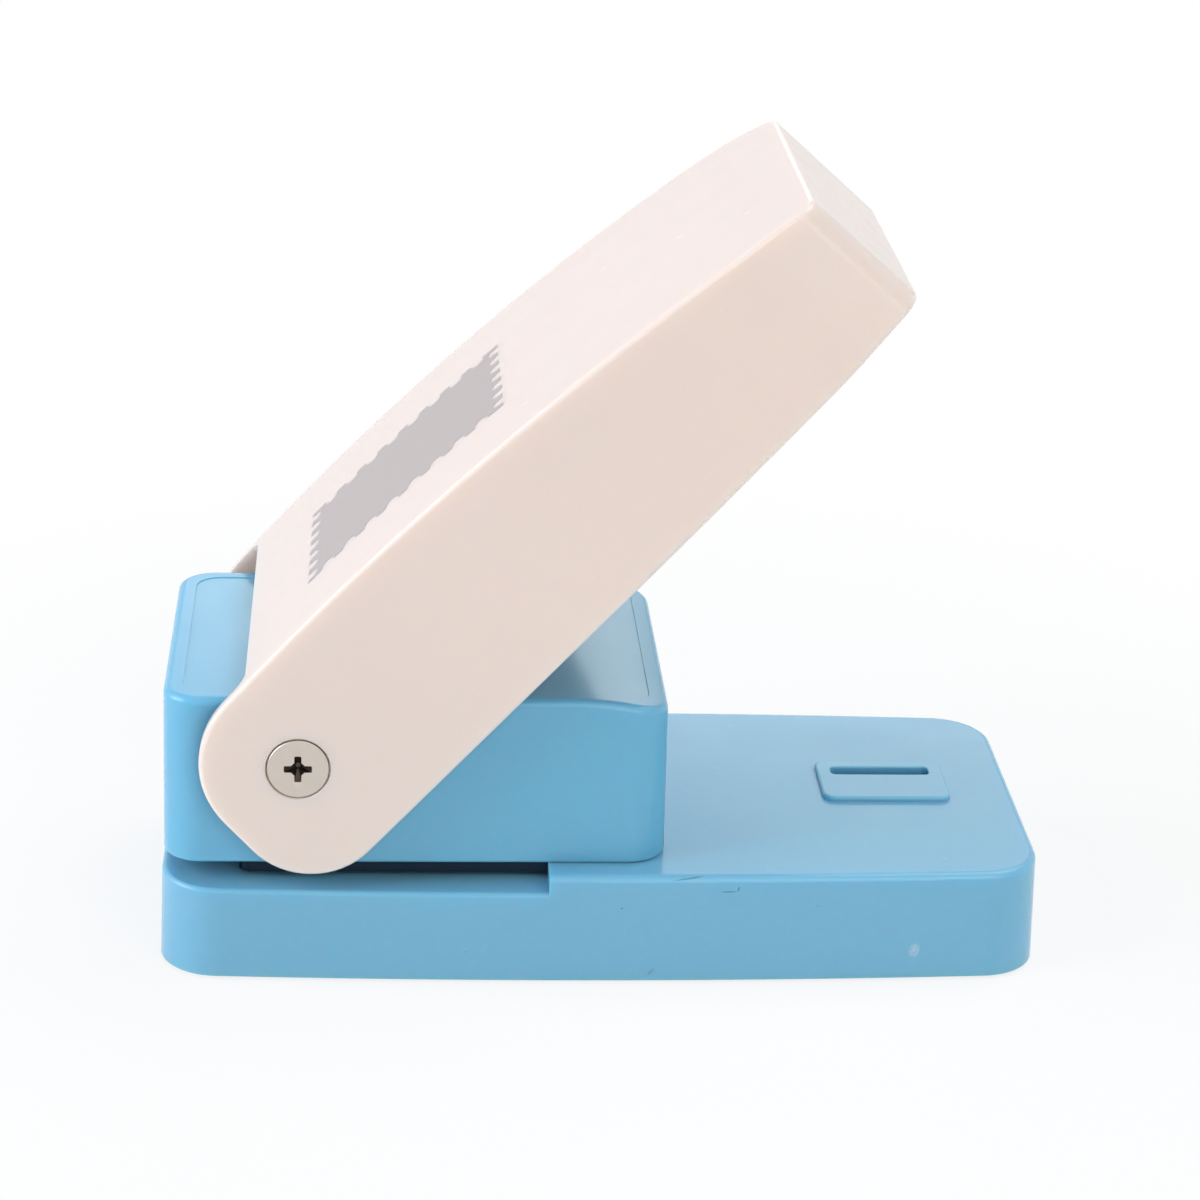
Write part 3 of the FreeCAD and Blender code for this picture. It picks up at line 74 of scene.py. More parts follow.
def make_camera():
    right0 = Vector((math.cos(CAMERA_YAW), math.sin(CAMERA_YAW), 0.0))
    forward = Vector((-math.sin(CAMERA_YAW) * math.cos(CAMERA_PITCH),
                      math.cos(CAMERA_YAW) * math.cos(CAMERA_PITCH),
                      -math.sin(CAMERA_PITCH)))
    down0 = forward.cross(right0)
    right = math.cos(CAMERA_ROLL) * right0 - math.sin(CAMERA_ROLL) * down0
    down = math.sin(CAMERA_ROLL) * right0 + math.cos(CAMERA_ROLL) * down0
    data = bpy.data.cameras.new("camera")
    data.lens = CAMERA_LENS
    data.sensor_width = SENSOR
    data.clip_start = 0.01
    data.clip_end = 20.0
    camera = bpy.data.objects.new("camera", data)
    columns = (right, -down, -forward)
    camera.matrix_world = Matrix.Translation(CAMERA_PLACE) @ Matrix(
        [[c[row] for c in columns] for row in range(3)]).to_4x4()
    bpy.context.scene.collection.objects.link(camera)
    bpy.context.scene.camera = camera


# Shader nodes

class Finish:
    """A node material: textures in the piece's own space, feeding one Principled shader."""

    def __init__(self, name, metallic=0.0, **sockets):
        self.material = bpy.data.materials.new(name)
        self.material.use_nodes = True
        self.tree = self.material.node_tree
        self.shader = self.tree.nodes["Principled BSDF"]
        self.shader.inputs["Metallic"].default_value = metallic
        for socket, value in sockets.items():
            self.shader.inputs[socket.replace("_", " ")].default_value = value
        self.place = self.node("ShaderNodeTexCoord").outputs["Object"]

    def node(self, kind, **settings):
        made = self.tree.nodes.new(kind)
        for key, value in settings.items():
            setattr(made, key, value)
        return made

    def link(self, source, target):
        self.tree.links.new(source, target)

    def stretched(self, scale, turn=(0.0, 0.0, 0.0)):
        """The piece's own space, with its own scale along each of its turned axes."""
        mapping = self.node("ShaderNodeMapping", vector_type="TEXTURE")
        mapping.inputs["Rotation"].default_value = turn
        mapping.inputs["Scale"].default_value = tuple(1.0 / s for s in scale)
        self.link(self.place, mapping.inputs["Vector"])
        return mapping.outputs["Vector"]

    def noise(self, scale, detail, place=None):
        made = self.node("ShaderNodeTexNoise")
        self.link(place or self.place, made.inputs["Vector"])
        made.inputs["Scale"].default_value = scale
        made.inputs["Detail"].default_value = detail
        return made.outputs["Fac"]

    def specks(self, scale, size):
        """Round specks, one to a cell. Their radius is a share of the cell; they fade from half of it."""
        made = self.node("ShaderNodeTexVoronoi", feature="F1")
        self.link(self.place, made.inputs["Vector"])
        made.inputs["Scale"].default_value = scale
        return self.span(made.outputs["Distance"], (size / 2, size), (1.0, 0.0))

    def span(self, value, taken, given):
        """The value's range taken, carried over to the range given and held at its ends."""
        made = self.node("ShaderNodeMapRange", clamp=True)
        self.link(value, made.inputs["Value"])
        for key, number in zip(("From Min", "From Max", "To Min", "To Max"), taken + given):
            made.inputs[key].default_value = number
        return made.outputs["Result"]

    def mix(self, factor, first, second):
        """Mixed colours; each is a plain colour or another node's output."""
        made = self.node("ShaderNodeMix", data_type="RGBA")
        self.link(factor, made.inputs["Factor"])
        for socket, value in (("A_Color", first), ("B_Color", second)):
            target = next(s for s in made.inputs if s.identifier == socket)
            if isinstance(value, tuple):
                target.default_value = value
            else:
                self.link(value, target)
        return next(s for s in made.outputs if s.identifier == "Result_Color")

    def math(self, operation, first, second):
        made = self.node("ShaderNodeMath", operation=operation)
        for target, value in zip(made.inputs, (first, second)):
            if isinstance(value, (int, float)):
                target.default_value = value
            else:
                self.link(value, target)
        return made.outputs["Value"]

    def color(self, source):
        self.link(source, self.shader.inputs["Base Color"])

    def roughness(self, source):
        self.link(source, self.shader.inputs["Roughness"])

    def relief(self, layers):
        """Bump layers, each (height, depth in metres)."""
        below = None
        for height, depth in layers:
            bump = self.node("ShaderNodeBump")
            bump.inputs["Strength"].default_value = 1.0
            bump.inputs["Distance"].default_value = depth
            self.link(height, bump.inputs["Height"])
            if below is not None:
                self.link(below, bump.inputs["Normal"])
            below = bump.outputs["Normal"]
        self.link(below, self.shader.inputs["Normal"])


# Colours

def rgb(red, green, blue):
    """A colour given as on a screen, 0 to 255, for a shader."""
    def linear(value):
        value /= 255.0
        return value / 12.92 if value <= 0.04045 else ((value + 0.055) / 1.055) ** 2.4
    return (linear(red), linear(green), linear(blue), 1.0)


def shade(color, factor):
    return tuple(min(1.0, c * factor) for c in color[:3]) + (1.0,)


def shades(color, factors):
    return [shade(color, factor) for factor in factors]


def around(gloss, spread):
    """The range of roughness that a finish wanders through, round its plain gloss."""
    return (gloss + spread[0], gloss + spread[1])


BLUE = rgb(121, 184, 213)
HOUSING_BLUE = rgb(111, 182, 214)
COVER_BLUE = rgb(104, 160, 190)
LEVER_WHITE = rgb(235, 220, 212)
PAD_WHITE = rgb(238, 234, 224)
SCUFFED_BLUE = rgb(170, 204, 222)
RUBBER_BLACK = (0.018, 0.018, 0.02, 1.0)
TOOL_GREY = (0.022, 0.034, 0.052, 1.0)
ZINC = rgb(196, 198, 200)
NICKEL = rgb(212, 207, 200)
SPRING_GREY = rgb(168, 170, 174)
BRASS = rgb(214, 178, 104)
INK_GREY = rgb(181, 173, 170)
SCREW_GREY = rgb(205, 196, 187)
# Painted shade: a dark colour that stands in for the shade inside the screws' cross recesses
RECESS_PAINTED_SHADE = rgb(84, 76, 70)


# Marks on the base's near face: place, half length, half width, tilt, strength, in millimetres and degrees
DARK_MARKS = [
    ((12.9, -32.3, 18.13), 2.9, 0.10, 6.2, 0.7),
    ((19.4, -32.5, 15.95), 1.55, 0.10, 0.0, 0.85),
    ((20.95, -32.5, 16.4), 0.55, 0.11, 75.0, 0.9),
    ((2.5, -32.8, 13.1), 0.20, 0.17, 0.0, 0.8),
    ((7.5, -33.0, 2.0), 0.85, 0.35, 50.0, 0.3),
]
LIGHT_MARKS = [((49.75, -32.0, 5.3), 1.4, 1.05, 80.0, 1.0)]
MARK_DEPTH = 1.5
MARK_CORE = 0.55    # share of a mark that has its full strength
MARK_SHADE = 0.3


def marked(finish, marks):
    """How far each spot is marked, 0 to 1: a soft ellipse round every mark's place."""
    total = None
    for place, length, width, tilt, strength in marks:
        mapping = finish.node("ShaderNodeMapping", vector_type="TEXTURE")
        mapping.inputs["Location"].default_value = tuple(c * MM for c in place)
        mapping.inputs["Rotation"].default_value = (0.0, -math.radians(tilt), 0.0)
        mapping.inputs["Scale"].default_value = (length * MM, MARK_DEPTH * MM, width * MM)
        finish.link(finish.place, mapping.inputs["Vector"])
        away = finish.node("ShaderNodeVectorMath", operation="LENGTH")
        finish.link(mapping.outputs["Vector"], away.inputs[0])
        spot = finish.span(away.outputs["Value"], (MARK_CORE, 1.0), (strength, 0.0))
        total = spot if total is None else finish.math("MAXIMUM", total, spot)
    return total


# Finishes: scales are in cells per metre, depths in metres, and shades are factors on the colour

# Moulded plastic
PLASTIC_IOR = 1.47
DRIFT_SHADES = (0.985, 1.015)
HAIR_SCALES = (2600.0, 210.0, 150.0)
HAIR_TURN = (0.5, 0.35, 0.9)
HAIR_STRENGTH = 0.5
HAIR_SHADE = 0.9
HAIR_ROUGHNESS = 0.3
SPECK_STRENGTH = 0.5
SPECK_SHADE = 0.4
PLASTIC_GLOSS_SPREAD = (-0.03, 0.03)
PEEL_DEPTH = 1.5e-6
COVER_GRAIN = 1.6e-5


def moulded_plastic(name, color, gloss, wear=1.0, grain=0.0, marks=None, **sockets):
    """Slow colour drift, hairlines and a few specks, faint orange peel; grain is a rough mould's depth."""
    finish = Finish(name, IOR=PLASTIC_IOR, **sockets)
    drift = finish.noise(scale=30.0, detail=2.0)
    base = finish.mix(drift, *shades(color, DRIFT_SHADES))
    hair_place = finish.stretched(HAIR_SCALES, HAIR_TURN)
    hair_noise = finish.noise(scale=1.0, detail=1.0, place=hair_place)
    hairs = finish.span(hair_noise, taken=(0.76, 0.83), given=(0.0, HAIR_STRENGTH * wear))
    base = finish.mix(hairs, base, shade(color, HAIR_SHADE))
    specks = finish.math("MULTIPLY", finish.specks(scale=130.0, size=0.022), SPECK_STRENGTH * wear)
    base = finish.mix(specks, base, shade(color, SPECK_SHADE))
    if marks:
        dark, light = marks
        base = finish.mix(marked(finish, dark), base, shade(color, MARK_SHADE))
        patchy = finish.span(finish.noise(scale=3000.0, detail=3.0), taken=(0.35, 0.55), given=(0.0, 1.0))
        scuff = finish.math("MULTIPLY", marked(finish, light), patchy)
        base = finish.mix(scuff, base, SCUFFED_BLUE)
    finish.color(base)
    cloud = finish.span(finish.noise(scale=120.0, detail=3.0), taken=(0.25, 0.75),
                        given=around(gloss, PLASTIC_GLOSS_SPREAD))
    finish.roughness(finish.math("ADD", cloud, finish.math("MULTIPLY", hairs, HAIR_ROUGHNESS)))
    layers = [(finish.noise(scale=420.0, detail=1.0), PEEL_DEPTH)]
    if grain:
        layers.append((finish.noise(scale=4200.0, detail=2.0), grain))
    finish.relief(layers)
    return finish


# Ground or drawn steel
LINES_ALONG = 160.0
LINES_ACROSS = 5200.0
LINE_SHADES = (0.86, 1.1)
LINE_DEPTH = 2.0e-6
STAIN_SHADE = 0.72
GROUND_GLOSS_SPREAD = (-0.06, 0.08)


def ground_steel(name, color, gloss, along):
    """Fine lines along one direction, faint stains."""
    finish = Finish(name, metallic=1.0)
    stretch = tuple(LINES_ALONG if axis == along else LINES_ACROSS for axis in "XYZ")
    lines = finish.noise(scale=1.0, detail=3.0, place=finish.stretched(stretch))
    stain = finish.noise(scale=140.0, detail=4.0)
    base = finish.mix(lines, *shades(color, LINE_SHADES))
    stained = finish.span(stain, taken=(0.45, 0.75), given=(0.0, 0.5))
    finish.color(finish.mix(stained, base, shade(color, STAIN_SHADE)))
    rough = finish.span(lines, taken=(0.25, 0.75), given=around(gloss, GROUND_GLOSS_SPREAD))
    finish.roughness(finish.math("ADD", rough, finish.span(stain, taken=(0.4, 0.8), given=(0.0, 0.1))))
    finish.relief([(lines, LINE_DEPTH)])
    return finish


# Zinc or nickel plate
PLATE_SHADES = (0.93, 1.05)
PLATE_DEPTH = 1.5e-6
PIT_SHADE = 0.6
PLATE_GLOSS_SPREAD = (-0.05, 0.07)


def plated_steel(name, color, gloss):
    """Cloudy brightness, tiny pits."""
    finish = Finish(name, metallic=1.0)
    cloud = finish.noise(scale=330.0, detail=5.0)
    base = finish.mix(cloud, *shades(color, PLATE_SHADES))
    pits = finish.specks(scale=900.0, size=0.12)
    finish.color(finish.mix(pits, base, shade(color, PIT_SHADE)))
    finish.roughness(finish.span(cloud, taken=(0.3, 0.7), given=around(gloss, PLATE_GLOSS_SPREAD)))
    finish.relief([(finish.noise(scale=2600.0, detail=2.0), PLATE_DEPTH)])
    return finish


# Turned metal
TURNED_SHADES = (0.92, 1.06)
RING_DEPTH = 8.0e-7
TURNED_GLOSS_SPREAD = (-0.04, 0.06)
AXLE_CENTRE = tuple(PIVOT)


def turned_metal(name, color, gloss, axis, centre):
    """Fine rings round an axis."""
    finish = Finish(name, metallic=1.0)
    mapping = finish.node("ShaderNodeMapping")
    mapping.inputs["Location"].default_value = tuple(-c for c in centre)
    finish.link(finish.place, mapping.inputs["Vector"])
    rings = finish.node("ShaderNodeTexWave", wave_type="RINGS", rings_direction=axis)
    finish.link(mapping.outputs["Vector"], rings.inputs["Vector"])
    rings.inputs["Scale"].default_value = 700.0
    rings.inputs["Distortion"].default_value = 1.6
    rings.inputs["Detail"].default_value = 3.0
    cloud = finish.noise(scale=240.0, detail=3.0)
    finish.color(finish.mix(cloud, *shades(color, TURNED_SHADES)))
    rough = finish.span(rings.outputs["Fac"], taken=(0.0, 1.0), given=around(gloss, TURNED_GLOSS_SPREAD))
    finish.roughness(rough)
    finish.relief([(rings.outputs["Fac"], RING_DEPTH)])
    return finish


# Rubber
RUBBER_IOR = 1.5
DUST_SHADE = 2.2
RUBBER_DEPTH = 1.2e-5


def rubber(name, color):
    """Grainy, with a little dust."""
    finish = Finish(name, IOR=RUBBER_IOR)
    dust = finish.noise(scale=420.0, detail=5.0)
    dusty = finish.span(dust, taken=(0.45, 0.8), given=(0.0, 1.0))
    finish.color(finish.mix(dusty, color, shade(color, DUST_SHADE)))
    finish.roughness(finish.span(dust, taken=(0.3, 0.7), given=(0.62, 0.8)))
    finish.relief([(finish.noise(scale=2400.0, detail=4.0), RUBBER_DEPTH)])
    return finish


# Screen-printed ink
INK_IOR = 1.45
WEAVE_SHADES = (0.97, 1.03)
WEAVE_DEPTH = 1.5e-6
PINHOLE_SHADE = 1.2


def printed_ink(name, color):
    """Flat colour with the faint weave of the screen and pinholes."""
    finish = Finish(name, IOR=INK_IOR)
    weave = finish.noise(scale=2600.0, detail=3.0)
    base = finish.mix(weave, *shades(color, WEAVE_SHADES))
    pinholes = finish.specks(scale=520.0, size=0.06)
    finish.color(finish.mix(pinholes, base, shade(color, PINHOLE_SHADE)))
    finish.roughness(finish.span(weave, taken=(0.3, 0.7), given=(0.38, 0.48)))
    finish.relief([(weave, WEAVE_DEPTH)])
    return finish


# One finish for each of the record's material slots. Light gets some way into the glossy plastics.
MILKY = {"Subsurface_Weight": 0.8, "Subsurface_Radius": (1.0, 0.8, 0.62), "Subsurface_Scale": 0.0032}
TINTED = {"Subsurface_Weight": 0.75, "Subsurface_Radius": (0.12, 0.75, 1.0), "Subsurface_Scale": 0.004}
SLOT_FINISHES = {
    "base_plastic": moulded_plastic("base_plastic", BLUE, gloss=0.21, marks=(DARK_MARKS, LIGHT_MARKS),
                                    **TINTED),
    "housing_plastic": moulded_plastic("housing_plastic", HOUSING_BLUE, gloss=0.2, **TINTED),
    "cover_plastic": moulded_plastic("cover_plastic", COVER_BLUE, gloss=0.5, grain=COVER_GRAIN),
    "lever_plastic": moulded_plastic("lever_plastic", LEVER_WHITE, gloss=0.24, wear=0.3, **MILKY),
    "foot_rubber": rubber("foot_rubber", RUBBER_BLACK),
    "tool_steel": ground_steel("tool_steel", TOOL_GREY, gloss=0.36, along="X"),
    "pressed_steel": plated_steel("pressed_steel", ZINC, gloss=0.32),
    "screw_steel": plated_steel("screw_steel", NICKEL, gloss=0.28),
    "spring_steel": ground_steel("spring_steel", SPRING_GREY, gloss=0.3, along="Z"),
    "bush_brass": turned_metal("bush_brass", BRASS, gloss=0.26, axis="Y", centre=AXLE_CENTRE),
    "pad_plastic": moulded_plastic("pad_plastic", PAD_WHITE, gloss=0.42),
}


def dress_nodes():
    for part in frame["record"]["subparts"]:
        node = nodes[part["node"]]
        node.data.materials.clear()
        node.data.materials.append(SLOT_FINISHES[part["material_slot"]].material)


# Pieces made here
SMOOTH_ANGLE = math.radians(32.0)


def make_object(name, mesh, material, smooth_angle=SMOOTH_ANGLE):
    for polygon in mesh.polygons:
        polygon.use_smooth = True
    mesh.set_sharp_from_angle(angle=smooth_angle)
    mesh.materials.append(material)
    made = bpy.data.objects.new(name, mesh)
    bpy.context.scene.collection.objects.link(made)
    return made


def on_lever(u, y, v):
    """A point of the lever's side view, in millimetres, in the frame's metres."""
    x = u * math.cos(LEVER_RAISE) - v * math.sin(LEVER_RAISE)
    z = u * math.sin(LEVER_RAISE) + v * math.cos(LEVER_RAISE)
    return PIVOT + Vector((x, y, z)) * MM


# Print on the lever's roof: corners in U and Y, near side first, then the bites along its sides
PRINT_CORNERS = [(17.6, -16.0), (59.5, -15.1), (59.5, 15.6), (17.8, 14.3)]
LONG_BITES = {"count": 8, "pitch": 4.71, "half_width": 1.35, "depth": 1.95}
SHORT_BITES = {"count": 7, "pitch": 4.28, "half_width": 1.15, "depth": 2.0}
ARC_STEPS = 12
PRINT_PROUD = 0.025
PRINT_SUNK = 0.08
ABOVE_ROOF = 30.0
GRID = 2.0
GRID_MARGIN = 3.2
SAME_POINT = 1e-4
KEEP_INSIDE = 1    # asks the triangulation for the faces inside the outline alone
MERGE_REACH = 1e-6


def bitten_side(start, end, count, pitch, half_width, depth):
    """Points from start towards end, with round-ended bites into the left of that direction."""
    along = (end - start).normalized()
    inward = Vector((-along.y, along.x))
    middle = (start + end) / 2
    straight = depth - half_width
    points = [start]
    for bite in range(count):
        centre = middle + along * pitch * (bite - (count - 1) / 2)
        points.append(centre - along * half_width)
        for step in range(ARC_STEPS + 1):
            angle = math.pi * (1.0 - step / ARC_STEPS)
            points.append(centre + half_width * (math.cos(angle) * along + math.sin(angle) * inward)
                          + straight * inward)
        points.append(centre + along * half_width)
    return points


def stamp_outline():
    corners = [Vector(corner) for corner in PRINT_CORNERS]
    points = []
    for index, bites in enumerate((LONG_BITES, SHORT_BITES) * 2):
        points += bitten_side(corners[index], corners[(index + 1) % 4], **bites)
    return [p for p, before in zip(points, points[-1:] + points[:-1]) if (p - before).length > SAME_POINT]


def grid_inside():
    """Extra points inside the print, so that it follows the roof's curve."""
    low_u, high_u = PRINT_CORNERS[0][0] + GRID_MARGIN, PRINT_CORNERS[1][0] - GRID_MARGIN
    low_y, high_y = PRINT_CORNERS[1][1] + GRID_MARGIN, PRINT_CORNERS[3][1] - GRID_MARGIN
    columns = int((high_u - low_u) / GRID)
    rows = int((high_y - low_y) / GRID)
    return [Vector((low_u + GRID * i, low_y + GRID * j))
            for i in range(columns + 1) for j in range(rows + 1)]


def on_roof(u, y):
    """The point of the lever's roof above u, y, and the direction square to the lever."""
    lever = nodes["lever"]
    start = on_lever(u, y, ABOVE_ROOF)
    up = (start - on_lever(u, y, 0.0)).normalized()
    inverse = lever.matrix_world.inverted()
    found, place, _, _ = lever.ray_cast(inverse @ start, inverse.to_3x3() @ -up)
    return lever.matrix_world @ place if found else on_lever(u, y, 0.0), up


def make_print():
    """The stamp-shaped print: a thin skin of ink, a little of it above the roof."""
    outline = stamp_outline()
    border = [list(range(len(outline)))]
    flat, _, faces, _, _, _ = delaunay_2d_cdt(outline + grid_inside(), [], border, KEEP_INSIDE, MERGE_REACH)
    sides = {}
    for face in faces:
        for a, b in zip(face, face[1:] + face[:1]):
            sides[(a, b)] = (b, a)
    rim = [pair for pair, back in sides.items() if back not in sides]
    solid = bmesh.new()
    top = []
    bottom = []
    for point in flat:
        place, up = on_roof(point.x, point.y)
        top.append(solid.verts.new(place + up * PRINT_PROUD * MM))
        bottom.append(solid.verts.new(place - up * PRINT_SUNK * MM))
    for face in faces:
        solid.faces.new([top[i] for i in face])
        solid.faces.new([bottom[i] for i in reversed(face)])
    for a, b in rim:
        solid.faces.new([top[b], top[a], bottom[a], bottom[b]])
    bmesh.ops.recalc_face_normals(solid, faces=solid.faces[:])
    mesh = bpy.data.meshes.new("stamp_print")
    solid.to_mesh(mesh)
    solid.free()
    made = make_object("stamp_print", mesh, printed_ink("stamp_ink", INK_GREY).material)
    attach(made, "lever")


# Pivot screw: flat head with a tapering cross recess
SCREW_FACE = turned_metal("pivot_screw_face", SCREW_GREY, gloss=0.36, axis="Y", centre=AXLE_CENTRE)
# Darker metal for the cross recess, as painted shade
SCREW_RECESS_SHADE = plated_steel("pivot_screw_recess_painted_shade", RECESS_PAINTED_SHADE, gloss=0.42)
HEAD_RADIUS = 4.78
HEAD_CHAMFER = 0.10
HEAD_THICKNESS = 1.0
HEAD_MIDDLE = 0.75    # share of the head's radius at a ring between recess and edge
SHANK_RADIUS = 1.98
SHANK_END = 9.9
SHANK_CHAMFER = 0.4
ARM_REACH = 2.15
ARM_HALF_WIDTH = 0.54
ARM_ROOT = 1.05
RECESS_RINGS = (  # from the bottom up: share of the mouth, depth, share of the arms' reach
    (0.36, 1.7, 0.5),
    (0.62, 1.15, 0.62),
    (0.8, 0.7, 0.94),
    (0.97, 0.05, 1.0),
    (1.02, 0.0, 1.0),
)
RECESS_FACES = (0.02, 2.0)    # depths between which a face near the middle is the recess's, and takes its painted shade
SCREW_SMOOTH_ANGLE = math.radians(25.0)
SMALLEST_SINE = 1e-6


def cross_radius(angle):
    """Distance from the middle to the recess's edge: four arms with a wide root."""
    turn = abs((angle + math.pi / 4) % (math.pi / 2) - math.pi / 4)
    to_end = ARM_REACH / math.cos(turn)
    to_side = ARM_HALF_WIDTH / max(math.sin(turn), SMALLEST_SINE)
    corner = ARM_ROOT + ARM_HALF_WIDTH
    to_root = corner / (math.cos(turn) + math.sin(turn))
    return max(min(to_end, to_side), min(to_root, to_end))


def recess_angles():
    """Directions of a ring's points: the corners of the cross and what lies midway."""
    end = math.atan2(ARM_HALF_WIDTH, ARM_REACH)
    root = math.atan2(ARM_HALF_WIDTH, ARM_ROOT)
    quarter = [0.0, end / 2, end, (end + root) / 2, root, (root + math.pi / 4) / 2, math.pi / 4]
    quarter += [math.pi / 2 - a for a in reversed(quarter[1:-1])]
    return [q * math.pi / 2 + a for q in range(4) for a in quarter]


def screw_rings(angles):
    """The screw from the recess's bottom over the head to the shank's end, each ring as (radius, height)."""
    def circle(radius, height):
        return [(radius, height)] * len(angles)

    recess = [[(min(cross_radius(a), ARM_REACH * reach) * share, -depth) for a in angles]
              for share, depth, reach in RECESS_RINGS]
    return recess + [
        circle(HEAD_RADIUS * HEAD_MIDDLE, 0.0),
        circle(HEAD_RADIUS - HEAD_CHAMFER, 0.0),
        circle(HEAD_RADIUS, -HEAD_CHAMFER),
        circle(HEAD_RADIUS, -HEAD_THICKNESS),
        circle(SHANK_RADIUS, -HEAD_THICKNESS),
        circle(SHANK_RADIUS, SHANK_CHAMFER - SHANK_END),
        circle(SHANK_RADIUS - SHANK_CHAMFER, -SHANK_END),
    ]


def add_screw(solid, face_y, outward, angles, rings):
    """One screw, with its head's face at face_y, looking along Y as outward says, 1 or -1."""
    def point(x, height, z):
        return solid.verts.new(Vector((PIVOT.x, face_y, PIVOT.z)) + MM * Vector((x, outward * height, z)))

    loops = [[point(radius * math.cos(angle), height, radius * math.sin(angle))
              for angle, (radius, height) in zip(angles, ring)] for ring in rings]
    for first, second in zip(loops, loops[1:]):
        for i in range(len(angles)):
            j = (i + 1) % len(angles)
            solid.faces.new([first[i], first[j], second[j], second[i]])
    for loop, ring in ((loops[0], rings[0]), (loops[-1], rings[-1])):
        height = ring[0][1]
        middle = solid.verts.new(Vector((PIVOT.x, face_y + outward * height * MM, PIVOT.z)))
        for here, after in zip(loop, loop[1:] + loop[:1]):
            solid.faces.new([middle, here, after])


def make_screws():
    """Both pivot screws, as one piece that stands for the CAD node, with painted shade on the faces inside the
    cross recess.
    """
    low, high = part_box("pivot_screws")
    angles = recess_angles()
    rings = screw_rings(angles)
    solid = bmesh.new()
    add_screw(solid, low.y, -1.0, angles, rings)
    add_screw(solid, high.y, 1.0, angles, rings)
    bmesh.ops.recalc_face_normals(solid, faces=solid.faces[:])
    mesh = bpy.data.meshes.new("pivot_screw_pair")
    solid.to_mesh(mesh)
    solid.free()
    made = make_object("pivot_screw_pair", mesh, SCREW_FACE.material, SCREW_SMOOTH_ANGLE)
    mesh.materials.append(SCREW_RECESS_SHADE.material)
    # Faces inside the cross recess take the second, darker material: painted shade
    shallow, deep = RECESS_FACES
    for polygon in mesh.polygons:
        radius = math.hypot(polygon.center.x - PIVOT.x, polygon.center.z - PIVOT.z)
        depth = min(abs(polygon.center.y - low.y), abs(polygon.center.y - high.y))
        if radius < ARM_REACH * MM and shallow * MM < depth < deep * MM:
            polygon.material_index = 1
    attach(made, "lever")
    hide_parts("pivot_screws")


def shorten_springs():
    """Gives each return spring that the punch slide lists as deforming a mesh of its own."""
    slide = next(j for j in frame["joints"] if j["name"] == "punch_slide")
    for spring in slide["deforming_nodes"]:
        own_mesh(nodes[spring["node"]])


# Studio
AMBIENT = 0.3
LAMP_REACH = 1.3
LAMP_AIM = Vector((0.0, 0.0, 0.05))
LAMPS = (  # name, direction it stands in, share of a plain light, width, height, colour
    ("left", (-0.9, -0.15, 0.40), 0.73, 0.9, 0.9, (0.98, 0.99, 1.08)),
    ("top_right", (0.45, 0.17, 0.88), 0.42, 0.9, 0.9, (0.91, 1.0, 1.09)),
    ("back", (0.09, 0.934, 0.345), 0.034, 0.55, 0.17, (0.92, 1.02, 1.07)),
    ("front", (0.35, -0.85, 0.40), 0.33, 0.9, 0.9, (1.035, 1.005, 0.95)),
)
FLOOR_HALF = 4.0
FLOOR_ALBEDO = 0.93
FLOOR_SHOWN_WHITE = 0.8    # share of plain white in what is seen of the floor near the object
FLOOR_FADE = (0.10, 0.24)    # distances between which that share goes up to 1


def seen_directly(tree):
    """1 for rays that show the background: from the camera, in gloss and through glass."""
    path = tree.nodes.new("ShaderNodeLightPath")
    factor = path.outputs["Is Camera Ray"]
    for name in ("Is Glossy Ray", "Is Transmission Ray"):
        larger = tree.nodes.new("ShaderNodeMath")
        larger.operation = "MAXIMUM"
        tree.links.new(factor, larger.inputs[0])
        tree.links.new(path.outputs[name], larger.inputs[1])
        factor = larger.outputs["Value"]
    return factor


def make_world():
    """A dim white sky that is shown as plain white."""
    world = bpy.data.worlds.new("studio")
    bpy.context.scene.world = world
    world.use_nodes = True
    tree = world.node_tree
    tree.nodes.clear()
    output = tree.nodes.new("ShaderNodeOutputWorld")
    mix = tree.nodes.new("ShaderNodeMixShader")
    light = tree.nodes.new("ShaderNodeBackground")
    shown = tree.nodes.new("ShaderNodeBackground")
    light.inputs["Color"].default_value = WHITE
    light.inputs["Strength"].default_value = AMBIENT
    shown.inputs["Color"].default_value = WHITE
    shown.inputs["Strength"].default_value = 1.0
    tree.links.new(seen_directly(tree), mix.inputs["Fac"])
    tree.links.new(light.outputs["Background"], mix.inputs[1])
    tree.links.new(shown.outputs["Background"], mix.inputs[2])
    tree.links.new(mix.outputs["Shader"], output.inputs["Surface"])


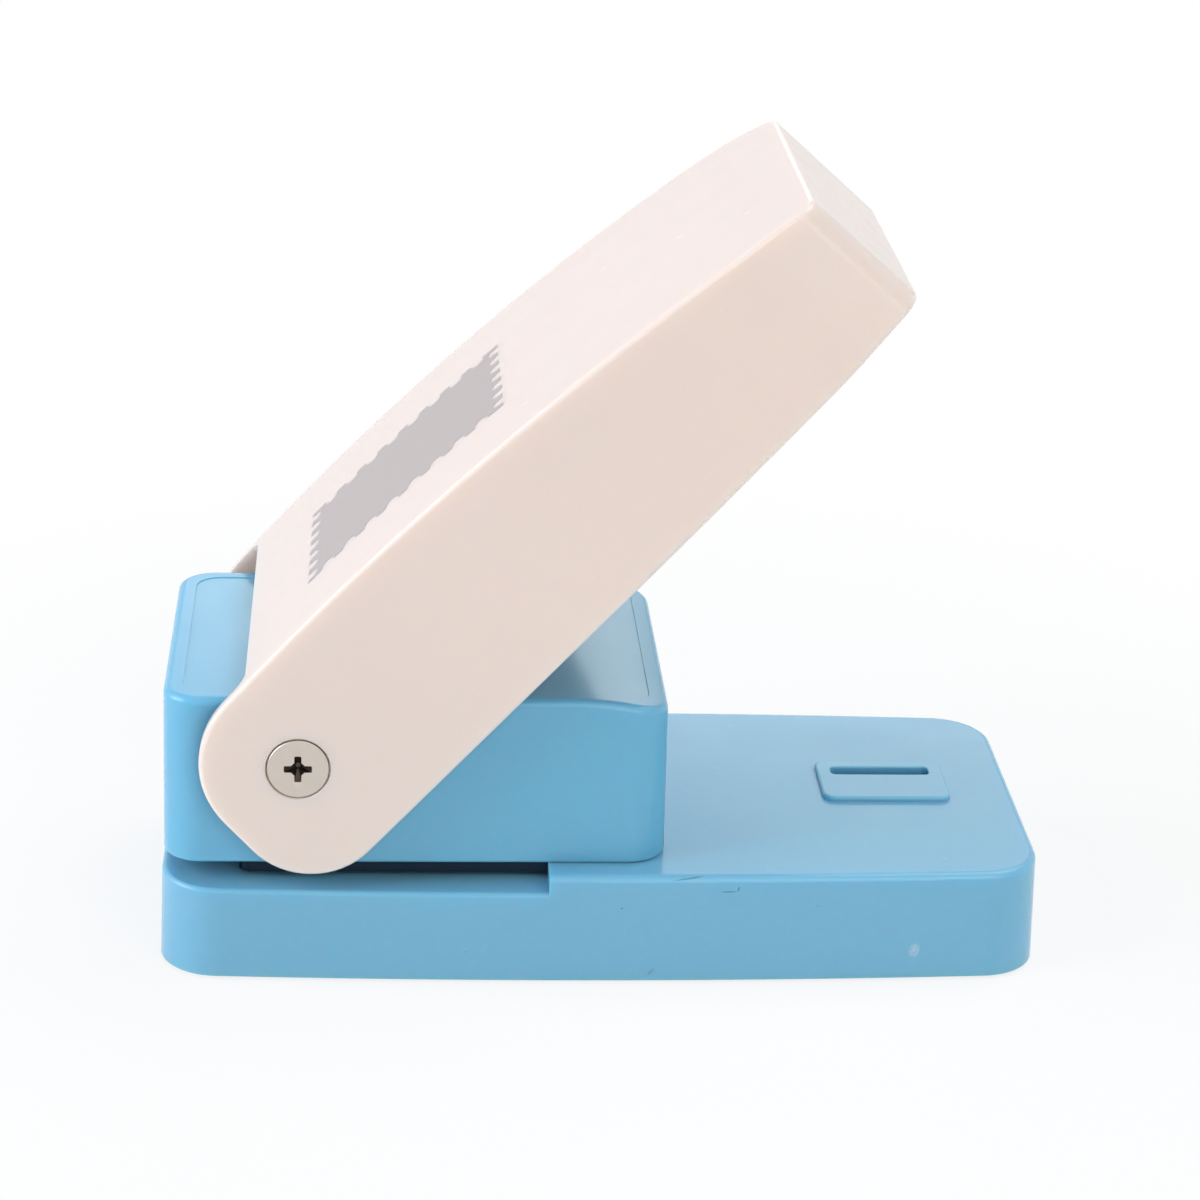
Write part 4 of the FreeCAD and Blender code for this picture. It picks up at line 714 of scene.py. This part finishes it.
def floor_material():
    """White paper that takes shadows and is seen as plain white further out."""
    material = bpy.data.materials.new("floor_white")
    material.use_nodes = True
    tree = material.node_tree
    tree.nodes.clear()
    output = tree.nodes.new("ShaderNodeOutputMaterial")
    paper = tree.nodes.new("ShaderNodeBsdfDiffuse")
    paper.inputs["Color"].default_value = (FLOOR_ALBEDO, FLOOR_ALBEDO, FLOOR_ALBEDO, 1.0)
    shown = tree.nodes.new("ShaderNodeEmission")
    shown.inputs["Color"].default_value = WHITE
    shown.inputs["Strength"].default_value = 1.0
    spot = tree.nodes.new("ShaderNodeNewGeometry")
    away = tree.nodes.new("ShaderNodeVectorMath")
    away.operation = "LENGTH"
    tree.links.new(spot.outputs["Position"], away.inputs[0])
    fade = tree.nodes.new("ShaderNodeMapRange")
    fade.interpolation_type = "SMOOTHSTEP"
    tree.links.new(away.outputs["Value"], fade.inputs["Value"])
    fade.inputs["From Min"].default_value, fade.inputs["From Max"].default_value = FLOOR_FADE
    fade.inputs["To Min"].default_value = FLOOR_SHOWN_WHITE
    fade.inputs["To Max"].default_value = 1.0
    share = tree.nodes.new("ShaderNodeMath")
    share.operation = "MULTIPLY"
    tree.links.new(seen_directly(tree), share.inputs[0])
    tree.links.new(fade.outputs["Result"], share.inputs[1])
    mix = tree.nodes.new("ShaderNodeMixShader")
    tree.links.new(share.outputs["Value"], mix.inputs["Fac"])
    tree.links.new(paper.outputs["BSDF"], mix.inputs[1])
    tree.links.new(shown.outputs["Emission"], mix.inputs[2])
    tree.links.new(mix.outputs["Shader"], output.inputs["Surface"])
    return material


def make_floor():
    mesh = bpy.data.meshes.new("floor")
    corners = [(-FLOOR_HALF, -FLOOR_HALF, 0.0), (FLOOR_HALF, -FLOOR_HALF, 0.0),
               (FLOOR_HALF, FLOOR_HALF, 0.0), (-FLOOR_HALF, FLOOR_HALF, 0.0)]
    mesh.from_pydata(corners, [], [(0, 1, 2, 3)])
    mesh.materials.append(floor_material())
    floor = bpy.data.objects.new("floor", mesh)
    bpy.context.scene.collection.objects.link(floor)


def soft_box(name, direction, share, width, height, color):
    """Lamp that gives share of a plain light at the object: 1 would show a colour as written."""
    data = bpy.data.lights.new(name, "AREA")
    data.shape = "RECTANGLE"
    data.size = width
    data.size_y = height
    data.energy = share * (math.pi * LAMP_REACH) ** 2
    data.color = color
    lamp = bpy.data.objects.new(name, data)
    toward = Vector(direction).normalized()
    lamp.location = LAMP_AIM + toward * LAMP_REACH
    lamp.rotation_mode = "QUATERNION"
    lamp.rotation_quaternion = (-toward).to_track_quat("-Z", "Y")
    bpy.context.scene.collection.objects.link(lamp)


def make_studio():
    make_world()
    make_floor()
    for lamp in LAMPS:
        soft_box(*lamp)
    bpy.context.scene.view_settings.view_transform = "Standard"


make_camera()
dress_nodes()
make_print()
make_screws()
shorten_springs()
make_studio()
